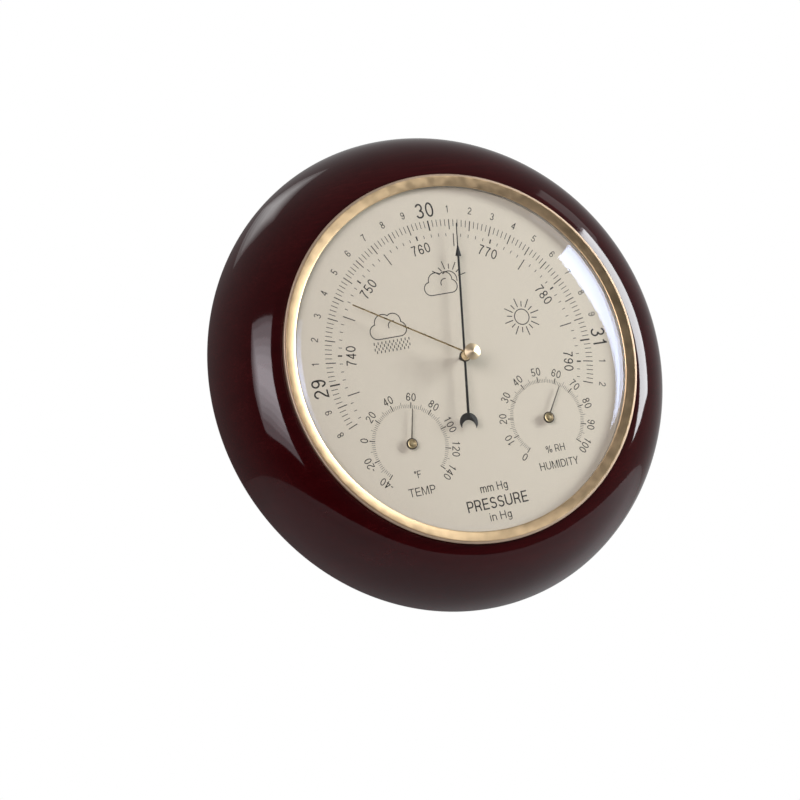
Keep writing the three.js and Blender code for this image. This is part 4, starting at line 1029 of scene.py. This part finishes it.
for name, body, degrees, centre in (
    ("thermo", "thermometer_hand", THERMO_ANGLE, THERMO),
    ("hygro", "hygrometer_hand", HYGRO_ANGLE, HYGRO),
):
    box = extent(f"{name}_hub")
    needle = needle_mesh(f"{name}_needle", degrees, centre)
    piece(f"{name}_pointer", needle, body, "needle_grey", [f"{name}_needle"])
    cup_mesh = turned(cup_profile(box.front - CUP_THICK, box.front), SMALL, centre)
    cup = piece(f"{name}_hub_cup", cup_mesh, body, "hub_brass", [f"{name}_hub"], cup_brass)
    # The cup's edge gets the painted shade ring
    two_finishes(cup, painted_shade_rim, HUB_RIM, centre)

# Back of the case

PAN_CORNER = 2.0
FLANGE_WIDTH = 4.7
VENT_RADIUS = 1.6
VENT_CIRCLE = 62.0
ADJUSTER_HOLE = 3.0


def case_pan_mesh():
    wall = pan.right - FLANGE_WIDTH
    corners = [
        (0, pan.back, 0),
        (wall, pan.back, PAN_CORNER),
        (wall, pan.front - PAN_SHEET, 0.4),
        (pan.right, pan.front - PAN_SHEET, 0.1),
        (pan.right, pan.front, 0.1),
        (wall - PAN_SHEET, pan.front, 0.6),
        (wall - PAN_SHEET, pan.back + PAN_SHEET, 1.2),
        (0, pan.back + PAN_SHEET, 0),
    ]
    through = (pan.back - 1, pan.back + 2)
    holes = [disc_outline(ADJUSTER_HOLE, steps=64)]
    holes += [disc_outline(VENT_RADIUS, polar(VENT_CIRCLE, 90 * i), 32) for i in range(4)]
    return carved(turned(filleted(corners, 8), LARGE), cut=[prism(hole, *through) for hole in holes])


piece("pressed_case_pan", case_pan_mesh(), "case", "case_metal", ["case_pan"])

KEYHOLE_ENTRY = 98.8
ENTRY_RADIUS = 3.8
KEYHOLE_TOP = 106.2
SLOT_RADIUS = 1.8


def keyhole_outline():
    shoulder = math.degrees(math.asin(SLOT_RADIUS / ENTRY_RADIUS))
    entry = sweep((0, KEYHOLE_ENTRY), ENTRY_RADIUS, shoulder, 360 - 2 * shoulder, 40)
    return [*entry, *sweep((0, KEYHOLE_TOP - SLOT_RADIUS), SLOT_RADIUS, -90, 180, 16)]


SINKS = (-13, 13)  # across, of the countersinks
SINK_PROFILE = [(0, -1), (2.4, -1), (2.4, 0.1), (1.3, 1.2), (1.3, 2), (0, 2)]


def hanger_mesh():
    plate = prism(hanger_outline(0, HANGER_ROUND), hanger.back, hanger.front)
    sinks = [turned(SINK_PROFILE, 32, (side, HANGER_UP)) for side in SINKS]
    return eased(carved(plate, cut=[prism(keyhole_outline(), -1, 3), *sinks]), 0.12)


piece("keyhole_plate", hanger_mesh(), "case", "hanger_brass", ["hanger_plate"])

CLIP_ENDS = (75.0, 86.5)  # up from the axis, of the middles of its round ends
CLIP_ROUND = 4.5
CLIP_THICK = 1


def clip_mesh(node, degrees):
    front = extent(node).front
    inner, outer = CLIP_ENDS
    ends = [sweep((0, up), CLIP_ROUND, first, 180, 24) for up, first in ((outer, -90), (inner, 90))]
    return placed(eased(prism(sum(ends, []), front - CLIP_THICK, front), 0.15), degrees)


def cross_recess(width, length, depth, face):
    """Two crossed wedges, for a screw's recess, that narrow with depth."""
    cutters = []
    for along, aside in ((length, width), (width, length)):
        corners = [(-1, -1), (1, -1), (1, 1), (-1, 1)]
        low = [(x * along / 2, y * aside / 2, face - 0.5) for x, y in corners]
        high = [(x * along * 0.28, y * aside * 0.28, face + depth) for x, y in corners]
        cutters.append(loft(low, high))
    return cutters


def pan_screw_mesh(node, head, height, shank, degrees):
    """A pan head that faces the wall, with a cross recess, and its shank running forwards."""
    box = extent(node)
    seat = box.back + height
    profile = [
        (0, box.back, 0),
        (head * 0.72, box.back, 0.5),
        (head, box.back + height * 0.55, 0.25),
        (head, seat, 0.08),
        (shank, seat, 0),
        (shank, box.front - shank, 0.1),
        (0, box.front, 0),
    ]
    recess = cross_recess(head * 0.24, head * 1.15, height * 0.55, box.back)
    return placed(carved(turned(filleted(profile, 6), 48), cut=recess), degrees, middle(node))


def flush_screw_mesh(node, degrees):
    box = extent(node)
    radius = (box.right - box.left) / 2
    profile = [(0, box.back), (radius, box.back), (1, hanger.front), (1, box.front - 1), (0, box.front)]
    recess = cross_recess(0.5, 2.5, 0.7, box.back)
    return placed(carved(turned(profile, 48), cut=recess), degrees, middle(node))


# Head radius, head height and shank radius
CLIP_SCREW = (2.8, 1.5, 1.3)
BASE_SCREW = (2.1, 1.3, 0.9)


def fastener(name, node, shape, *sizes):
    piece(name, shape(node, *sizes), "case", "screw_steel", [node])


for i, degrees in enumerate((60, 180, 300), 1):
    fastener(f"holding_clip_{i}", f"case_clip_{i}", clip_mesh, degrees)
    fastener(f"clip_pan_screw_{i}", f"clip_screw_{i}", pan_screw_mesh, *CLIP_SCREW, 35 * i - 15)
    fastener(f"base_pan_screw_{i}", f"base_screw_{i}", pan_screw_mesh, *BASE_SCREW, 25 * i + 25)
for i in (1, 2):
    fastener(f"hanger_flush_screw_{i}", f"hanger_screw_{i}", flush_screw_mesh, 40 * i - 25)


DRIVER_SLOT = (3, 0.8)  # half length and width


def adjuster_mesh():
    box = extent("adjusting_screw")
    half, width = DRIVER_SLOT
    radius = (box.right - box.left) / 2
    profile = [(0, box.back, 0), (radius, box.back, 0.25), (radius, box.front, 0.1), (0, box.front, 0)]
    slot = strip((-half, 0), (half, 0), width, box.back - 1, box.back + 1)
    return carved(turned(filleted(profile), 64), cut=[slot])


piece("zero_adjuster", adjuster_mesh(), "adjuster", "movement_brass", ["adjusting_screw"])

# Studio: a pale floor below the part, which hangs in the air, soft boxes in front and behind, and a room

FLOOR_BELOW_AXIS = 500.0
FLOOR_CENTRE = (-60.0, 717.0)  # across, and behind the wall's plane
FLOOR_RADIUS = 1547.0
FLOOR_THICKNESS = 4.0
FLOOR_PALE = 0.8
FLOOR_PAINTED_SHADE = 0.36  # painted shade: what its front part gives back to every ray but the camera's
FLOOR_PAINTED_LIGHT = 1.22  # painted light: how much more its right-hand part gives back to them
FLOOR_DEPTHS = (-1.2, -0.4)  # metres behind the disc's middle over which it pales
FLOOR_SIDES = (0.1, 1.0)  # metres to its right


def floor_material():
    """A matt pale floor. To every ray but the camera's it carries painted shade to the front and painted
    light to the right.
    """
    finish = Finish("pale_floor", 0.8)
    share = finish.noise(finish.coordinates(), 9, 3.0)
    finish.feed(finish.ramp(share, [(0.3, (0.78,) * 3), (0.7, (FLOOR_PALE,) * 3)]), "Base Color")
    path = finish.node("ShaderNodeLightPath").outputs
    across = finish.node("ShaderNodeSeparateXYZ", {"Vector": finish.coordinates()}).outputs
    # Painted shade towards the front and painted light to the right, in the grey that every ray but the
    # camera's sees
    depth = finish.between(across["Y"], FLOOR_PAINTED_SHADE, FLOOR_PALE, *FLOOR_DEPTHS)
    side = finish.between(across["X"], 1.0, FLOOR_PAINTED_LIGHT, *FLOOR_SIDES)
    share = finish.node("ShaderNodeMath", {0: depth, 1: side}, operation="MULTIPLY").outputs["Value"]
    inputs = {"Red": share, "Green": share, "Blue": share}
    grey = finish.node("ShaderNodeCombineColor", inputs).outputs["Color"]
    matt = finish.node("ShaderNodeBsdfDiffuse", {"Color": grey}).outputs["BSDF"]
    inputs = {0: path["Is Camera Ray"], 1: matt, 2: finish.shader.outputs["BSDF"]}
    mixed = finish.node("ShaderNodeMixShader", inputs).outputs["Shader"]
    finish.tree.links.new(mixed, finish.tree.nodes["Material Output"].inputs["Surface"])
    return finish.material


floor_height = AXIS_Z - (FLOOR_BELOW_AXIS + FLOOR_THICKNESS / 2) * MM
bpy.ops.mesh.primitive_cylinder_add(
    vertices=128,
    radius=FLOOR_RADIUS * MM,
    depth=FLOOR_THICKNESS * MM,
    location=(FLOOR_CENTRE[0] * MM, FLOOR_CENTRE[1] * MM, floor_height),
)
floor = bpy.context.object
floor.name = "studio_floor"
floor.data.materials.append(floor_material())

LIGHT_DISTANCE = 1.5  # metres from the dial's middle


def direction(azimuth, elevation):
    """From the dial, azimuth 0 straight out of its front and positive to the right as it is read."""
    a, e = math.radians(azimuth), math.radians(elevation)
    return Vector((math.sin(a) * math.cos(e), -math.cos(a) * math.cos(e), math.sin(e)))


def soft_box(name, azimuth, elevation, wide, high, radiance, roll=0.0, colour=(1, 1, 1)):
    """A rectangular lamp that fills some degrees of the view from the dial, at a given brightness."""
    size = [2 * LIGHT_DISTANCE * math.tan(math.radians(angle) / 2) for angle in (wide, high)]
    lamp = bpy.data.lights.new(name, "AREA")
    lamp.shape = "RECTANGLE"
    lamp.color = colour
    lamp.size, lamp.size_y = size
    lamp.energy = radiance * math.pi * size[0] * size[1]
    made = linked(name, lamp)
    aim = direction(azimuth, elevation)
    place = Vector((0, 0, AXIS_Z)) + aim * LIGHT_DISTANCE
    facing = aim.to_track_quat("Z", "Y").to_matrix().to_4x4() @ Matrix.Rotation(math.radians(roll), 4, "Z")
    made.matrix_world = Matrix.Translation(place) @ facing
    made.visible_camera = False


def soft_glow(name, outer, inner, count, radiance, roll=0.0, colour=(1, 1, 1)):
    """Lamps inside one another that fade outwards; each end is (azimuth, elevation, wide, high)."""
    for i in range(count):
        share = i / (count - 1)
        box = [first + (last - first) * share for first, last in zip(outer, inner)]
        soft_box(f"{name}_{i + 1}", *box, radiance / count, roll, colour)


COOL_LIGHT = (0.95, 0.97, 1.0)
PALE_LILAC = (1.0, 0.94, 1.0)
soft_box("right_soft_box", 60.5, 7.3, 19.5, 32, 13.5, roll=18, colour=COOL_LIGHT)
soft_glow("right_haze", (65, 28, 20, 13), (65, 28, 9, 6), 2, 1.6, roll=19)
soft_glow("left_soft_box", (-38, 10.8, 37, 36.5), (-38, 10.8, 34, 33.5), 2, 3.1, roll=-11, colour=PALE_LILAC)
soft_glow("left_glow", (-36.5, 12, 34, 29), (-32.5, 11.5, 27, 6), 5, 5.0, roll=-11, colour=PALE_LILAC)
soft_glow("rear_glow", (-154, 61, 27, 25), (-154, 62, 10, 7), 4, 2.5)

ROOM_MIDDLE = 0.21
ROOM_SLOPE = (0.07, 0.18, 0.07)  # how much brighter the room is to the right, behind and above
FILL_FRONT = 0.06
FILL_BEHIND = 0.7
FILL_DEPTHS = (-0.1, 0.5)  # backward part of the direction, over which the fill grows


def studio_world():
    """White to the camera and through glass, a grey room in mirrors, and as light brighter behind."""
    world = bpy.data.worlds.new("studio_room")
    world.use_nodes = True
    tree = world.node_tree
    background = tree.nodes["Background"]

    def node(kind, inputs=None, **settings):
        return add_node(tree, kind, inputs, **settings).outputs

    path = node("ShaderNodeLightPath")
    where = node("ShaderNodeTexCoord")["Generated"]
    slope = node("ShaderNodeVectorMath", {0: where, 1: ROOM_SLOPE}, operation="DOT_PRODUCT")["Value"]
    mirrored = node("ShaderNodeMath", {0: slope, 1: ROOM_MIDDLE}, operation="ADD")["Value"]
    depth = node("ShaderNodeSeparateXYZ", {"Vector": where})["Y"]
    near, far = FILL_DEPTHS
    limits = {"From Min": near, "From Max": far, "To Min": FILL_FRONT, "To Max": FILL_BEHIND}
    fill = node("ShaderNodeMapRange", {"Value": depth, **limits})["Result"]
    unseen = node("ShaderNodeMix", {"Factor": path["Is Glossy Ray"], "A": fill, "B": mirrored})["Result"]
    rays_seen = {0: path["Is Camera Ray"], 1: path["Is Transmission Ray"]}
    seen = node("ShaderNodeMath", rays_seen, operation="MAXIMUM")["Value"]
    strength = node("ShaderNodeMix", {"Factor": seen, "A": unseen, "B": 1.0})["Result"]
    background.inputs["Color"].default_value = (1, 1, 1, 1)
    tree.links.new(strength, background.inputs["Strength"])
    return world


bpy.context.scene.world = studio_world()
bpy.context.scene.view_settings.view_transform = "Standard"

# Camera, fitted to the photograph: metres from the point where the dial's axis meets the wall

CAMERA_PLACE = (-0.48263, -1.10161, -0.16847)
CAMERA_TARGET = (-0.02338, 0.0, -0.00997)
CAMERA_ROLL = -13.703
CAMERA_LENS = 115.96

camera_data = bpy.data.cameras.new("photo_camera")
camera_data.lens = CAMERA_LENS
camera_data.sensor_width = 36
camera_data.sensor_fit = "HORIZONTAL"
camera = linked("photo_camera", camera_data)
axis_foot = Vector((0, 0, AXIS_Z))
eye = axis_foot + Vector(CAMERA_PLACE)
look = (axis_foot + Vector(CAMERA_TARGET) - eye).to_track_quat("-Z", "Y").to_matrix().to_4x4()
camera.matrix_world = Matrix.Translation(eye) @ look @ Matrix.Rotation(math.radians(CAMERA_ROLL), 4, "Z")
bpy.context.scene.camera = camera
